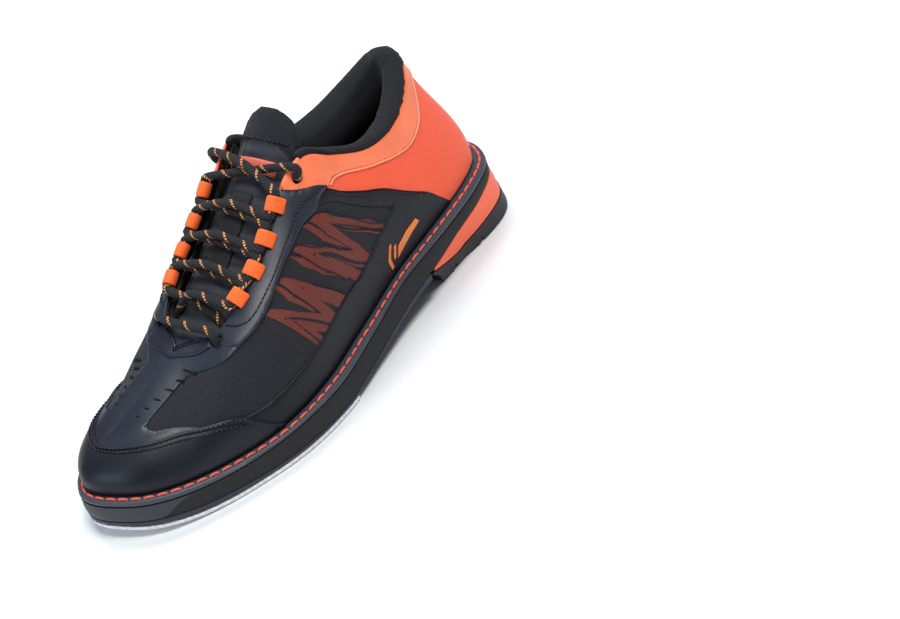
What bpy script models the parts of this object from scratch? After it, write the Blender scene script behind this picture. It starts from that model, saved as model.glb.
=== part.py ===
# Left bowling shoe: sole unit, layered upper, padded collar, tongue, lace. Millimetres inside, metres out.
# +X toe, +Y outer (little-toe) side, +Z up, soles' flat faces on z = 0.
import math

import bmesh
import bpy
import numpy as np
from mathutils import Matrix, Vector
from mathutils.geometry import delaunay_2d_cdt

for old in list(bpy.data.objects):
    bpy.data.objects.remove(old, do_unlink=True)
shoe = bpy.data.collections.new("bowling_shoe")
bpy.context.scene.collection.children.link(shoe)

PLAN_CENTRE = np.array([-0.78, 3.39, 0.0])  # middle of the finished shoe in the drawing's own axes
MM = 0.001
SHARP = math.radians(40)  # edges sharper than this stay crisp, all others are shaded smooth

# ---------------------------------------------------------------- plan outline of the welt (mm), heel to toe
OUTER = [(-148.5, 0), (-144.5, 14), (-132.5, 27), (-108, 36), (-75, 40.5), (-40, 43), (-5, 49), (30, 56), (62, 56.3),
         (92, 48.5), (120, 36), (139, 21), (148.5, 2), (150, -12)]
INNER = [(-148.5, 0), (-144.5, -14), (-132.5, -26), (-108, -34), (-75, -36.5), (-40, -35.5), (-5, -38), (30, -43.5),
         (62, -49), (92, -50), (117, -44.5), (134, -35), (145, -23), (150, -12)]


def spline_loop(pts, n=14):
    P = np.array(pts, float)
    m = len(P)
    T = np.linspace(0, 1, n, endpoint=False)[:, None]
    out = []
    for i in range(m):
        a, b, c, d = P[i - 1], P[i], P[(i + 1) % m], P[(i + 2) % m]
        out.append(0.5 * (2 * b + (c - a) * T + (2 * a - 5 * b + 4 * c - d) * T ** 2 + (3 * b - a - 3 * c + d) * T ** 3))
    return np.vstack(out)


def spline(pts, n=8):
    P = np.array(pts, float)
    Q = np.vstack([2 * P[0] - P[1], P, 2 * P[-1] - P[-2]])
    T = np.linspace(0, 1, n, endpoint=False)[:, None]
    out = []
    for i in range(1, len(Q) - 2):
        a, b, c, d = Q[i - 1:i + 3]
        out.append(0.5 * (2 * b + (c - a) * T + (2 * a - 5 * b + 4 * c - d) * T ** 2 + (3 * b - a - 3 * c + d) * T ** 3))
    out.append(P[-1:])
    return np.vstack(out)


def arc(C):
    return np.r_[0, np.cumsum(np.linalg.norm(np.diff(C, axis=0), axis=1))]


_loop = spline_loop(OUTER + INNER[-2:0:-1])
_k = 14 * (len(OUTER) - 1)
EDGE = {1: _loop[:_k + 1], -1: np.vstack([_loop[_k:], _loop[:1]])[::-1]}
EARC = {s: arc(EDGE[s]) for s in EDGE}


def outline(t, side):
    C, s = EDGE[side], EARC[side]
    t = np.asarray(t, float)
    return np.stack([np.interp(t * s[-1], s, C[:, 0]), np.interp(t * s[-1], s, C[:, 1])], -1)


def plan_normal(t, side):
    t = np.asarray(t, float)
    d = outline(np.clip(t + 4e-3, 0, 1), side) - outline(np.clip(t - 4e-3, 0, 1), side)
    d = np.where((t < 4e-3)[..., None], np.array([0.0, side]), d)
    d = np.where((t > 1 - 4e-3)[..., None], np.array([0.0, -side]), d)
    d = d / np.linalg.norm(d, axis=-1, keepdims=True)
    return np.stack([-side * d[..., 1], side * d[..., 0]], -1)


def smooth(x, X, Y):
    X, Y = np.array(X, float), np.array(Y, float)
    x = np.clip(np.asarray(x, float), X[0], X[-1])
    m = np.gradient(Y, X)
    i = np.clip(np.searchsorted(X, x, side='right') - 1, 0, len(X) - 2)
    h = X[i + 1] - X[i]
    s = (x - X[i]) / h
    return ((2 * s ** 3 - 3 * s ** 2 + 1) * Y[i] + (s ** 3 - 2 * s ** 2 + s) * h * m[i]
            + (3 * s ** 2 - 2 * s ** 3) * Y[i + 1] + (s ** 3 - s ** 2) * h * m[i + 1])


# heights of the sole stack along x
def welt_z(x): return smooth(x, [-150, -110, -60, -10, 40, 90, 125, 150], [34, 34, 30, 22.5, 18.5, 17, 19.5, 23.5])
def band_top(x): return smooth(x, [-150, -110, -80, -40, -10, 25, 60, 90, 125, 150], [30.6, 30.4, 28.6, 25, 19.6, 16, 15.4, 14.4, 16.3, 20])
def band_low(x): return smooth(x, [-150, -110, -90, -70, -50, -25, 0, 20, 60, 90, 120, 150], [26.5, 23.8, 22, 18.3, 15, 10.8, 6.6, 4.6, 4.4, 4.8, 6.6, 10.6])
def rim_low(x): return smooth(x, [-150, -60, -45, -25, -5, 10, 22, 60, 104, 125, 140, 150], [12.5, 12.3, 10.6, 8, 5.2, 3.4, 2.6, 2.4, 2.4, 3.7, 6.0, 8.2])
def pad_low(x): return np.maximum(smooth(x, [-30, 60, 104, 125, 140, 150], [0, 0, 0, 1.3, 3.6, 5.8]), 0)
def heel_top(x): return smooth(x, [-150, -110, -95, -88, -80, -72, -64, -58], [10, 10, 9.3, 8.8, 10.2, 12.4, 14.6, 15.4])


# ---------------------------------------------------------------- upper surface: ribs from the welt to the top line
# t, top x y z, lower handle (out, up), upper handle (out, up)
RIBS = {1: [(0.00, -124, -3, 110, 4, 26, 1, -26), (0.09, -119, 9, 108, 4, 25, 4, -26), (0.18, -103, 20, 100, 3, 22, 6, -22),
            (0.28, -82, 27, 94, 2, 20, 6, -20), (0.37, -60, 28, 96, 2, 22, 7, -20), (0.44, -40, 27, 107, 2, 26, 8, -22),
            (0.49, -25, 25, 116, 2, 28, 11, -20), (0.53, -11, 22, 111, 2, 27, 13, -17), (0.58, 5, 23, 98, 2, 25, 15, -13),
            (0.65, 26, 24, 83, 2, 21, 17, -9), (0.72, 45, 22, 73, 2, 18, 18, -6), (0.78, 60, 16, 65, 2, 17, 20, -3),
            (0.84, 72, -2, 60, 2, 17, 22, -2), (0.90, 90, -4, 54.5, 4, 17, 20, -3.5), (0.96, 106, -6, 49, 6, 16, 17, -5),
            (1.00, 113, -8, 46.5, 7, 16, 15, -5.4)],
        -1: [(0.00, -124, -3, 110, 4, 26, 1, -26), (0.09, -119, -15, 108, 4, 25, 4, -26), (0.18, -103, -26, 99, 3, 22, 6, -22),
             (0.28, -82, -32, 93, 2, 20, 6, -20), (0.37, -60, -33, 95, 2, 22, 7, -20), (0.44, -40, -32, 106, 2, 26, 8, -22),
             (0.49, -25, -30, 116, 2, 28, 11, -20), (0.53, -11, -27, 111, 2, 27, 13, -17), (0.58, 5, -27, 98, 2, 24, 14, -13),
             (0.65, 26, -27, 84, 2, 20, 16, -9), (0.72, 45, -25, 74, 2, 18, 16, -6), (0.78, 60, -18, 66, 3, 18, 18, -3),
             (0.84, 72, -2, 60, 5, 20, 20, -2), (0.90, 90, -4, 54.5, 8, 19, 19, -3.5), (0.96, 106, -6, 49, 8, 17, 17, -5),
             (1.00, 113, -8, 46.5, 7, 16, 15, -5.4)]}
INSET = 5.5  # the upper meets the welt this far inside its edge


def upper(t, v, side):
    t, v = np.broadcast_arrays(np.asarray(t, float), np.asarray(v, float))
    n = plan_normal(t, side)
    p = outline(t, side) - n * INSET
    B = np.concatenate([p, welt_z(p[..., :1])], -1)
    R = np.array(RIBS[side])
    r = np.stack([smooth(t, R[:, 0], R[:, k]) for k in range(1, 8)], -1)
    n3, up = np.concatenate([n, 0 * n[..., :1]], -1), np.array([0, 0, 1.0])
    M = np.array(RIBS[-side])
    other = np.stack([smooth(t, M[:, 0], M[:, k]) for k in (1, 2, 3)], -1)
    T = np.where((t >= 0.84)[..., None], (r[..., :3] + other) / 2, r[..., :3])  # one shared ridge in front of the throat
    P1 = B + n3 * r[..., 3:4] + up * r[..., 4:5]
    P2 = T + n3 * r[..., 5:6] + up * r[..., 6:7]
    v = v[..., None]
    w = 1 - v
    return w ** 3 * B + 3 * w * w * v * P1 + 3 * w * v * v * P2 + v ** 3 * T


def upper_normal(t, v, side):
    t, v = np.broadcast_arrays(np.asarray(t, float), np.asarray(v, float))
    e = 2e-3
    a = upper(np.minimum(t + e, 1), v, side) - upper(np.maximum(t - e, 0), v, side)
    b = upper(t, np.minimum(v + e, 1), side) - upper(t, np.maximum(v - e, 0), side)
    n = np.cross(a, b) * -side
    return n / np.linalg.norm(n, axis=-1, keepdims=True)


def on(t, v, off, side):
    return upper(t, v, side) + upper_normal(t, v, side) * off


# ---------------------------------------------------------------- materials
FINISHES = {  # colour, roughness
    "black_rubber": ((0.012, 0.012, 0.014), 0.75), "grey_rubber": ((0.045, 0.048, 0.06), 0.6),
    "orange_rubber": ((0.9, 0.13, 0.05), 0.55), "white_microfibre": ((0.75, 0.75, 0.73), 0.95),
    "black_synthetic": ((0.022, 0.025, 0.036), 0.38), "black_textile": ((0.02, 0.02, 0.023), 0.85),
    "charcoal_mesh": ((0.035, 0.034, 0.038), 0.8), "orange_synthetic": ((0.95, 0.19, 0.07), 0.4),
    "coral_fabric": ((0.95, 0.11, 0.05), 0.8), "red_print": ((0.35, 0.05, 0.025), 0.6),
    "orange_webbing": ((0.95, 0.11, 0.03), 0.6), "board": ((0.3, 0.22, 0.14), 0.9), "clear_plastic": ((0.6, 0.6, 0.6), 0.3)}
SHADES = {}


def turns_about(ob, point):
    """put a moving piece's origin on its joint's axis (mm)"""
    origin = (np.array(point) - PLAN_CENTRE) * MM
    ob.data.transform(Matrix.Translation(-Vector(origin)))
    ob.location = origin


def shade(name):
    if name not in SHADES:
        colour, roughness = FINISHES[name]
        mat = bpy.data.materials.new(name)
        mat.use_nodes = True
        bsdf = mat.node_tree.nodes["Principled BSDF"]
        bsdf.inputs["Base Color"].default_value = (*colour, 1)
        bsdf.inputs["Roughness"].default_value = roughness
        SHADES[name] = mat
    return SHADES[name]


# ---------------------------------------------------------------- mesh helpers
def welded(points, faces, tolerance=1e-3):
    """merge coincident points (mm) and drop what collapses"""
    index, kept, remap = {}, [], []
    for p in points:
        key = tuple(np.round(np.asarray(p) / tolerance).astype(int))
        if key not in index:
            index[key] = len(kept)
            kept.append(p)
        remap.append(index[key])
    out = []
    for f in faces:
        g = [remap[i] for i in f]
        g = [a for i, a in enumerate(g) if a != g[i - 1]]
        if len(set(g)) > 2:
            out.append(g)
    return np.array(kept), out


def add_object(name, data, finish):
    ob = bpy.data.objects.new(name, data)
    if isinstance(data, bpy.types.Mesh):
        data.shade_smooth()
        data.set_sharp_from_angle(angle=SHARP)
    data.materials.append(shade(finish))
    shoe.objects.link(ob)
    return ob


def add_mesh(name, points, faces, finish, closed=True):
    """mesh object from points in mm in the drawing's axes"""
    points, faces = welded(points, faces)
    mesh = bpy.data.meshes.new(name)
    mesh.from_pydata([tuple((p - PLAN_CENTRE) * MM) for p in points], [], faces)
    if closed:
        bm = bmesh.new()
        bm.from_mesh(mesh)
        bmesh.ops.recalc_face_normals(bm, faces=bm.faces)
        if bm.calc_volume(signed=True) < 0:
            bmesh.ops.reverse_faces(bm, faces=bm.faces)
        bm.to_mesh(mesh)
        bm.free()
    return add_object(name, mesh, finish)


def sheet(name, points, faces, layer, finish):
    """a layer of the upper: an open surface moved in to its depth, thickened inward by Solidify"""
    outer, inner = layer
    points, faces = welded(points, faces)
    normals = np.zeros_like(points)
    for f in faces:
        p = points[f]
        n = np.cross(p[1] - p[0], p[-1] - p[0])
        for i in f:
            normals[i] += n
    normals /= np.linalg.norm(normals, axis=1, keepdims=True)
    ob = add_mesh(name, points + normals * outer, faces, finish, closed=False)
    thick = ob.modifiers.new("thickness", "SOLIDIFY")
    thick.thickness = (outer - inner) * MM
    thick.offset = -1
    return ob


def cord(name, path, radius, finish, rounds=1, cyclic=False):
    """round cord along a path in mm"""
    curve = bpy.data.curves.new(name, "CURVE")
    curve.dimensions = "3D"
    curve.bevel_depth = radius * MM
    curve.bevel_resolution = rounds
    curve.use_fill_caps = True
    line = curve.splines.new("POLY")
    line.points.add(len(path) - 1)
    for point, p in zip(line.points, path):
        point.co = (*((np.asarray(p) - PLAN_CENTRE) * MM), 1)
    line.use_cyclic_u = cyclic
    return add_object(name, curve, finish)


TS, VS = 345.0, 78.0  # mm per unit of t and v, for even triangle sizes
STEP = 9.5  # triangle size on the upper


def resample(poly, step):
    """closed polygon in (t, v): corners kept, long edges divided"""
    out = []
    for a, b in zip(poly, poly[1:] + poly[:1]):
        a, b = np.array(a, float), np.array(b, float)
        n = max(1, int(round(np.hypot((b - a)[0] * TS, (b - a)[1] * VS) / step)))
        out += [a + (b - a) * i / n for i in range(n)]
    return out


def inside(p, poly):
    x, y = p
    c = False
    for (x1, y1), (x2, y2) in zip(poly, poly[1:] + poly[:1]):
        if (y1 > y) != (y2 > y) and x < (x2 - x1) * (y - y1) / (y2 - y1) + x1:
            c = not c
    return c


def patch(side, poly, holes, step):
    """triangles of the upper surface inside a (t, v) polygon, facing outward"""
    rings = [[(p[0] * TS, p[1] * VS) for p in resample(poly, step)]]
    rings += [[(p[0] * TS, p[1] * VS) for p in resample(h, step)] for h in holes]
    pts, edges = [], []
    for r in rings:
        k = len(pts)
        pts += r
        edges += [(k + i, k + (i + 1) % len(r)) for i in range(len(r))]
    xs, ys = [p[0] for p in rings[0]], [p[1] for p in rings[0]]
    B = np.array(pts)
    E = np.array([(B[a], B[b]) for a, b in edges])
    row = 0
    y = min(ys) + step * 0.5
    while y < max(ys):
        x = math.floor(min(xs) / step) * step + (step / 2 if row % 2 else 0)
        while x < max(xs):
            q = np.array([x, y])
            d = E[:, 1] - E[:, 0]
            u = np.clip(((q - E[:, 0]) * d).sum(1) / np.maximum((d * d).sum(1), 1e-9), 0, 1)
            if np.min(np.linalg.norm(E[:, 0] + d * u[:, None] - q, axis=1)) > step * 0.45 and \
                    sum(inside(q, r) for r in rings) % 2 == 1:
                pts.append((x, y))
            x += step
        y += step * 0.87
        row += 1
    for i, p in enumerate(rings[0]):  # at the toe corner both neighbours lie on shared edges: keep the two sides' triangles apart
        if abs(p[0] - TS) < 1e-9 and abs(p[1] - VS) < 1e-9:
            a, b = np.array(rings[0][i - 1]), np.array(rings[0][(i + 1) % len(rings[0])])
            pts.append(tuple(np.array(p) + 0.75 * ((a - p) + (b - p))))
    vo, _, fo, *_ = delaunay_2d_cdt([Vector(p) for p in pts], edges, [], 0, 1e-6)
    vo = np.array([(p[0], p[1]) for p in vo])
    F = []
    for f in fo:
        f = list(f)
        c = vo[f].mean(0)
        if sum(inside(c, r) for r in rings) % 2 == 1:
            a, b, d = vo[f[0]], vo[f[1]], vo[f[2]]
            area = (b[0] - a[0]) * (d[1] - a[1]) - (b[1] - a[1]) * (d[0] - a[0])
            if abs(area) < 1e-6:
                continue
            if area < 0:
                f.reverse()
            F.append(f if side < 0 else f[::-1])
    return upper(vo[:, 0] / TS, vo[:, 1] / VS, side), F


def panel(name, pieces, layer, finish, step=STEP):
    """pieces: (side, polygon, holes) on one or both sides of the shoe, sewn where they meet"""
    points, faces = [], []
    for side, polygon, *holes in pieces:
        v, f = patch(side, polygon, holes, step)
        base = sum(len(p) for p in points)
        points.append(v)
        faces += [[i + base for i in g] for g in f]
    return sheet(name, np.vstack(points), faces, layer, finish)


def cap(ring, flip):
    """triangles filling one closed ring seen from above"""
    n = len(ring)
    pts = [Vector((p[0], p[1])) for p in ring]
    vo, _, fo, orig, *_ = delaunay_2d_cdt(pts, [(i, (i + 1) % n) for i in range(n)], [], 1, 1e-6)
    F = []
    for f in fo:
        g = [orig[i][0] for i in f]
        a, b, c = (pts[g[0]], pts[g[1]], pts[g[2]])
        up = (b - a).cross(c - a) > 0
        F.append(g if up != flip else g[::-1])
    return F


def stacked(name, rings, finish):
    """Solid from closed rings of equal length, lowest first, both ends filled."""
    n = len(rings[0])
    F = []
    for k in range(len(rings) - 1):
        for i in range(n):
            j = (i + 1) % n
            F.append([k * n + i, k * n + j, (k + 1) * n + j, (k + 1) * n + i])
    F += cap(rings[0], True)
    F += [[i + (len(rings) - 1) * n for i in f] for f in cap(rings[-1], False)]
    return add_mesh(name, np.vstack(rings), F, finish)


def hoop(name, rings, finish):
    """Hollow ring: closed loops joined in order and back to the first."""
    n, m = len(rings[0]), len(rings)
    F = []
    for k in range(m):
        l = (k + 1) % m
        for i in range(n):
            j = (i + 1) % n
            F.append([k * n + i, k * n + j, l * n + j, l * n + i])
    return add_mesh(name, np.vstack(rings), F, finish)


def swept(name, sections, finish):
    """Solid through closed sections of equal length, capped at the ends."""
    n, m = len(sections[0]), len(sections)
    F = []
    for k in range(m - 1):
        for i in range(n):
            j = (i + 1) % n
            F.append([k * n + i, k * n + j, (k + 1) * n + j, (k + 1) * n + i])
    for base, flip in ((0, True), ((m - 1) * n, False)):
        c = list(range(n))
        h = n // 2
        for i in range(h - 1):  # sections are two facing rows: fill as a ladder
            f = [base + i, base + i + 1, base + n - 2 - i, base + n - 1 - i]
            F.append(f[::-1] if flip else f)
    return add_mesh(name, np.vstack(sections), F, finish)


def at_x(x, side):
    """station t where the outline passes x on one side"""
    C, q = EDGE[side], EARC[side] / EARC[side][-1]
    k = np.argmax(C[:, 0])
    return float(np.interp(x, C[:k, 0], q[:k]))


def part_ring(x0, x1, n, inset, z, extra=None):
    """closed ring whose two sides run between x0 and x1 (None: to the tip); extra points close the rear end"""
    pts = []
    for side in (1, -1):
        t0 = 0.0 if x0 is None else at_x(x0, side)
        t1 = 1.0 if x1 is None else at_x(x1, side)
        tt = np.linspace(t0, t1, n)
        if side < 0:
            tt = tt[::-1]
            if x1 is None:
                tt = tt[1:]
            if x0 is None:
                tt = tt[:-1]
        o = outline(tt, side)
        d = inset(o[:, 0]) if callable(inset) else np.full(len(o), float(inset))
        p = o - plan_normal(tt, side) * d[:, None]
        zz = z(p[:, 0]) if callable(z) else np.full(len(p), float(z))
        pts.append(np.c_[p, zz])
    ring = np.vstack(pts)
    if extra is not None:
        ring = np.vstack([ring] + [np.array([[x, y, z(np.array([x]))[0] if callable(z) else z]]) for x, y in extra])
    return ring


# ---------------------------------------------------------------- sole unit
SIDES = {1: "lateral", -1: "medial"}
BREAST, BUMPER, PAD_REAR = -60.0, 131.0, 21.0  # x of the heel's front, the toe bumper's rear, the pad's rear corners
PAD_POINT = [(8, -30), (-3, -16), (-8, 2), (0, 24)]  # rounded rear of the slide pad, pointing at the heel
HEEL_FLARE = 7.5  # how far the heel's foot sits inside the welt's edge
GAP = 0.3


def pad_ring(above, inset):
    return part_ring(PAD_REAR, None, 26, inset, lambda x: pad_low(x) + above, PAD_POINT)


stacked("slide_pad", [pad_ring(0, 1.0), pad_ring(0.5, 0.2), pad_ring(2.0, 0.2)], "white_microfibre")
stacked("outsole", [part_ring(BREAST, None, 28, 1.2, rim_low),
                    part_ring(BREAST, None, 28, 0.0, lambda x: rim_low(x) + 0.8),
                    part_ring(BREAST, None, 28, 0.0, lambda x: band_low(x) - GAP)], "grey_rubber")
stacked("midsole", [part_ring(None, BUMPER, 34, 0.3, band_low), part_ring(None, BUMPER, 34, 0.3, band_top)], "black_rubber")
stacked("toe_bumper", [part_ring(BUMPER + 1, None, 8, 0.0, band_low),
                       part_ring(BUMPER + 1, None, 8, -0.4, lambda x: (band_low(x) + band_top(x)) / 2),
                       part_ring(BUMPER + 1, None, 8, 0.0, band_top)], "grey_rubber")


def notch(x):
    """height of the two small cuts in the heel's lower edge"""
    return 2.6 * (np.exp(-((x + 108) / 2.2) ** 2) + np.exp(-((x + 84) / 2.2) ** 2))


def heel_ring(front, z, more=0.0):
    """ring of the tapering heel: further inside the welt's edge the lower it is"""
    height = z if callable(z) else (lambda x: np.full(len(x), float(z)))
    rear = lambda x: 1 - 1.5 * np.clip((-95 - x) / 50, 0, 1)  # the heel kicks out backwards
    return part_ring(None, front, 26,
                     lambda x: HEEL_FLARE * rear(x) * np.clip(1 - height(x) / band_low(x), 0, 1) + more, height)


stacked("heel_outsole", [heel_ring(-78, 0.0, 5.5), heel_ring(-74, notch, 0.9), heel_ring(-73, lambda x: 0.9 + notch(x)),
                         heel_ring(-67, lambda x: heel_top(x) * 0.6 + 1.2), heel_ring(-61.5, lambda x: heel_top(x) - GAP)],
        "black_rubber")
stacked("heel_wedge", [heel_ring(-64.5, heel_top),
                       heel_ring(-64.5, lambda x: np.maximum(band_low(x) - GAP, heel_top(x) + 0.7))], "orange_rubber")
WELT = [(0.7, lambda x: band_top(x) + GAP), (0.0, lambda x: (band_top(x) + welt_z(x)) / 2),
        (0.5, lambda x: welt_z(x) - 0.5), (1.5, welt_z), (9.3, welt_z), (9.3, lambda x: band_top(x) + GAP)]
hoop("welt", [part_ring(None, None, 34, inset, z) for inset, z in WELT], "grey_rubber")
cord("welt_stitch", part_ring(None, None, 34, 3.2, lambda x: welt_z(x) + 0.95), 0.55, "orange_webbing", 0, cyclic=True)
stacked("insole_board", [part_ring(None, None, 20, 10.4, lambda x: band_top(x) + h) for h in (0.4, 2.2)], "board")
SOCKLINER = [(13.4, 2.6), (12.8, 5.2), (14.0, 6.4)]  # inside the welt's edge, above the insole board's foot
LINER_TOE = (132.0, -8.0, 20.0)  # the sockliner peels up about its toe end
sockliner = stacked("sockliner", [part_ring(None, None, 20, inset, lambda x: band_top(x) + up) for inset, up in SOCKLINER],
                    "black_textile")
turns_about(sockliner, LINER_TOE)

# ---------------------------------------------------------------- upper, four layers deep (depths under the outer skin)
TOP_LAYER, SKIN, BASE, LINING = (0.0, -0.8), (-1.45, -2.25), (-2.9, -3.7), (-4.7, -5.9)
INSIDE = -9.8  # depth at which a lace tail lies inside the lining


def eyelet(t, v, half_t, half_v):
    """round hole through the upper, eight points"""
    return [(t + half_t * math.cos(q), v + half_v * math.sin(q)) for q in np.linspace(0, 2 * math.pi, 8, endpoint=False)]


TOP_HOLE, LOW_HOLE = (0.516, 0.905), (0.782, 0.895)
TOP_EYELET = eyelet(*TOP_HOLE, 0.0130, 0.050)
LOW_EYELET = eyelet(*LOW_HOLE, 0.0110, 0.060)
WIDE_EYELETS = eyelet(*TOP_HOLE, 0.0170, 0.066), eyelet(*LOW_HOLE, 0.0150, 0.072)  # in the lining, where the lace turns
# the mesh window, from its rear top corner forward to its tip and back below
WINDOW_TOP = [(0.525, 0.735), (0.599, 0.776), (0.643, 0.746), (0.683, 0.702), (0.812, 0.729), (0.87, 0.68)]
WINDOW_TIP = [(0.904, 0.612)]
WINDOW_LOW = [(0.824, 0.418), (0.755, 0.290)]
VAMP = ([(1.0, 0.50), (1.0, 1.0), (0.842, 1.0), (0.81, 0.985), (0.765, 0.985), (0.745, 0.92), (0.65, 0.90), (0.575, 0.90),
         (0.540, 0.84)] + WINDOW_TOP + WINDOW_TIP + WINDOW_LOW
        + [(0.745, 0.20), (0.80, 0.17), (0.84, 0.20), (0.906, 0.33), (0.96, 0.42)])
SIDE = [(0.748, 0.288), (0.657, 0.241), (0.569, 0.237), (0.445, 0.278), (0.381, 0.398), (0.343, 0.488), (0.397, 0.60),
        (0.453, 0.682), (0.520, 0.728), (0.530, 0.82), (0.473, 0.765), (0.405, 0.70), (0.353, 0.63), (0.30, 0.48),
        (0.244, 0.30), (0.215, 0.14), (0.196, 0.02), (0.738, 0.02), (0.738, 0.20)]
MESH = [(0.262, 0.02), (0.95, 0.02), (0.955, 0.60), (0.905, 0.86), (0.845, 0.93), (0.81, 0.985), (0.556, 0.985),
        (0.545, 0.89), (0.512, 0.80), (0.462, 0.73), (0.353, 0.56), (0.285, 0.30)]
EYESTAY = [(0.553, 0.99), (0.534, 0.875), (0.505, 0.79), (0.539, 0.826), (0.563, 0.833), (0.610, 0.82), (0.653, 0.806),
           (0.693, 0.779), (0.725, 0.80), (0.755, 0.82), (0.755, 0.99)]
QUARTER = [(0.262, 0.015), (0.81, 0.015), (0.81, 0.985), (0.495, 0.985), (0.484, 0.93), (0.30, 0.93), (0.262, 0.93)]
HEEL = [(0, 0.02), (0.254, 0.02), (0.277, 0.30), (0.345, 0.57), (0.453, 0.74), (0.503, 0.81), (0.536, 0.89), (0.548, 0.985),
        (0.495, 0.985), (0.480, 0.945), (0.30, 0.945), (0, 0.945)]
COLLAR = [(0.550, 0.985), (0.495, 0.985), (0.480, 0.948), (0.30, 0.948), (0.12, 0.950), (0.078, 0.935), (0.090, 0.84),
          (0.136, 0.815), (0.194, 0.722), (0.248, 0.715), (0.300, 0.765), (0.355, 0.812), (0.455, 0.836), (0.476, 0.790),
          (0.528, 0.845), (0.540, 0.90)]
TAB = [(0, 0.80), (0.035, 0.82), (0.058, 0.88), (0.068, 0.945), (0, 0.945)]
CAP = [(0.663, 0.02), (1.0, 0.02), (1.0, 0.625), (0.965, 0.56), (0.906, 0.415), (0.838, 0.285), (0.79, 0.245),
       (0.739, 0.235), (0.70, 0.14)]
HALF_MOON = [(0.762, 0.99), (0.842, 1.0), (0.872, 1.0), (0.842, 0.90), (0.805, 0.80), (0.762, 0.77)]
PUFF = [(0.965, 0.02), (1, 0.02), (1, 1), (0.90, 1), (0.915, 0.90), (0.968, 0.62)]
VAMP_INSIDE = [(0.818, 0.015), (1, 0.015), (1, 1), (0.860, 1), (0.840, 0.985), (0.818, 0.985)]
HEEL_INSIDE = [(0, 0.015), (0.256, 0.015), (0.256, 0.93), (0, 0.93)]
BADGE = [(0.345, 0.06), (0.355, 0.15), (0.296, 0.25), (0.284, 0.17)]
ZIGZAG = [(0.405, 0.52), (0.46, 0.36), (0.458, 0.59), (0.515, 0.34), (0.513, 0.63), (0.575, 0.33), (0.572, 0.66), (0.64, 0.34)]

panel("vamp", [(s, VAMP, LOW_EYELET) for s in SIDES], SKIN, "black_synthetic")
panel("heel_panel", [(s, HEEL, TOP_EYELET) for s in SIDES], BASE, "coral_fabric")
panel("heel_tab", [(s, TAB) for s in SIDES], (-0.6, -2.0), "black_textile", 7.0)
panel("toe_cap", [(s, CAP) for s in SIDES], TOP_LAYER, "black_synthetic")
panel("throat_overlay", [(s, HALF_MOON, LOW_EYELET) for s in SIDES], TOP_LAYER, "black_synthetic")
panel("toe_puff", [(s, PUFF) for s in SIDES], BASE, "board")
panel("vamp_lining", [(s, VAMP_INSIDE) for s in SIDES], LINING, "black_textile")
panel("heel_lining", [(s, HEEL_INSIDE) for s in SIDES], LINING, "black_textile", 11.0)


def zigzag_band(points, half):
    """zigzag strip of even width, in (t, v)"""
    P = np.array([(t * TS, v * VS) for t, v in points])
    left, right = [], []
    for i, p in enumerate(P):
        before = p - P[i - 1] if i else P[1] - P[0]
        after = P[i + 1] - p if i < len(P) - 1 else before
        n0, n1 = (np.array([-d[1], d[0]]) / np.linalg.norm(d) for d in (before, after))
        mid = (n0 + n1) / np.linalg.norm(n0 + n1)
        reach = half * min(1 / (mid @ n0), 1.7)
        left.append(p + mid * reach)
        right.append(p - mid * reach)
    return [(p[0] / TS, p[1] / VS) for p in left + right[::-1]]


for side, tag in SIDES.items():
    panel("side_overlay_" + tag, [(side, SIDE)], SKIN, "black_synthetic")
    panel("mesh_panel_" + tag, [(side, MESH, LOW_EYELET)], BASE, "charcoal_mesh", 10.5)
    panel("eyestay_" + tag, [(side, EYESTAY)], TOP_LAYER, "black_synthetic")
    panel("quarter_lining_" + tag, [(side, QUARTER, *WIDE_EYELETS)], LINING, "black_textile", 11.0)
    panel("collar_overlay_" + tag, [(side, COLLAR, TOP_EYELET)], SKIN, "orange_synthetic")
    panel("zigzag_film_" + tag, [(side, zigzag_band(ZIGZAG, 1.7))], (-2.1, -2.4), "red_print")
panel("side_badge", [(1, BADGE)], (-0.3, -0.9), "orange_webbing")

# ---------------------------------------------------------------- padded collar: a roll over the top line and down inside
COLLAR_END = 0.472
IN = LINING[1] - 1.6  # inner face of the lining, with its gap


def down(t, distance, side):
    """v at a distance (mm) below the top line"""
    v = np.linspace(1, 0.2, 60)
    return float(np.interp(distance, arc(upper(t, v, side)), v))


def collar_section(t, side):
    """closed section through the roll: (distance below the top line, depth) pairs, outer lip first"""
    fat = smooth(t, [0, 0.1, 0.3, 0.42, COLLAR_END], [1.15, 1.1, 1.0, 0.75, 0.3])
    deep = smooth(t, [0, 0.2, 0.42, COLLAR_END], [40, 32, 24, 14])
    rise = upper(t, 1.0, side) - upper(t, 0.985, side)
    rise /= np.linalg.norm(rise)
    row = [(2.6, -0.5), (0.6, -0.1), (-1.8, -1.8), (-2.8, -4.6), (-1.6, IN - 2.8 * fat), (0.28 * deep, IN - 6.6 * fat),
           (0.55 * deep, IN - 5.8 * fat), (0.8 * deep, IN - 3.0 * fat), (deep, IN - 0.7), (deep, IN), (0.8 * deep, IN),
           (0.55 * deep, IN), (0.28 * deep, IN), (2.6, IN), (2.6, -4.0), (2.6, -2.2)]
    out = []
    for distance, depth in row:
        if distance >= 0:
            out.append(on(t, down(t, distance, side), depth, side))
        else:
            out.append(on(t, 1.0, depth, side) - rise * distance)
    return np.array(out)


half_collar = {s: [collar_section(t, s) for t in np.linspace(COLLAR_END, 0.0, 19)] for s in SIDES}
swept("collar_lining", half_collar[1] + half_collar[-1][-2::-1], "black_textile")

# ---------------------------------------------------------------- tongue
YC = -2.0  # the throat's centre line
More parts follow.
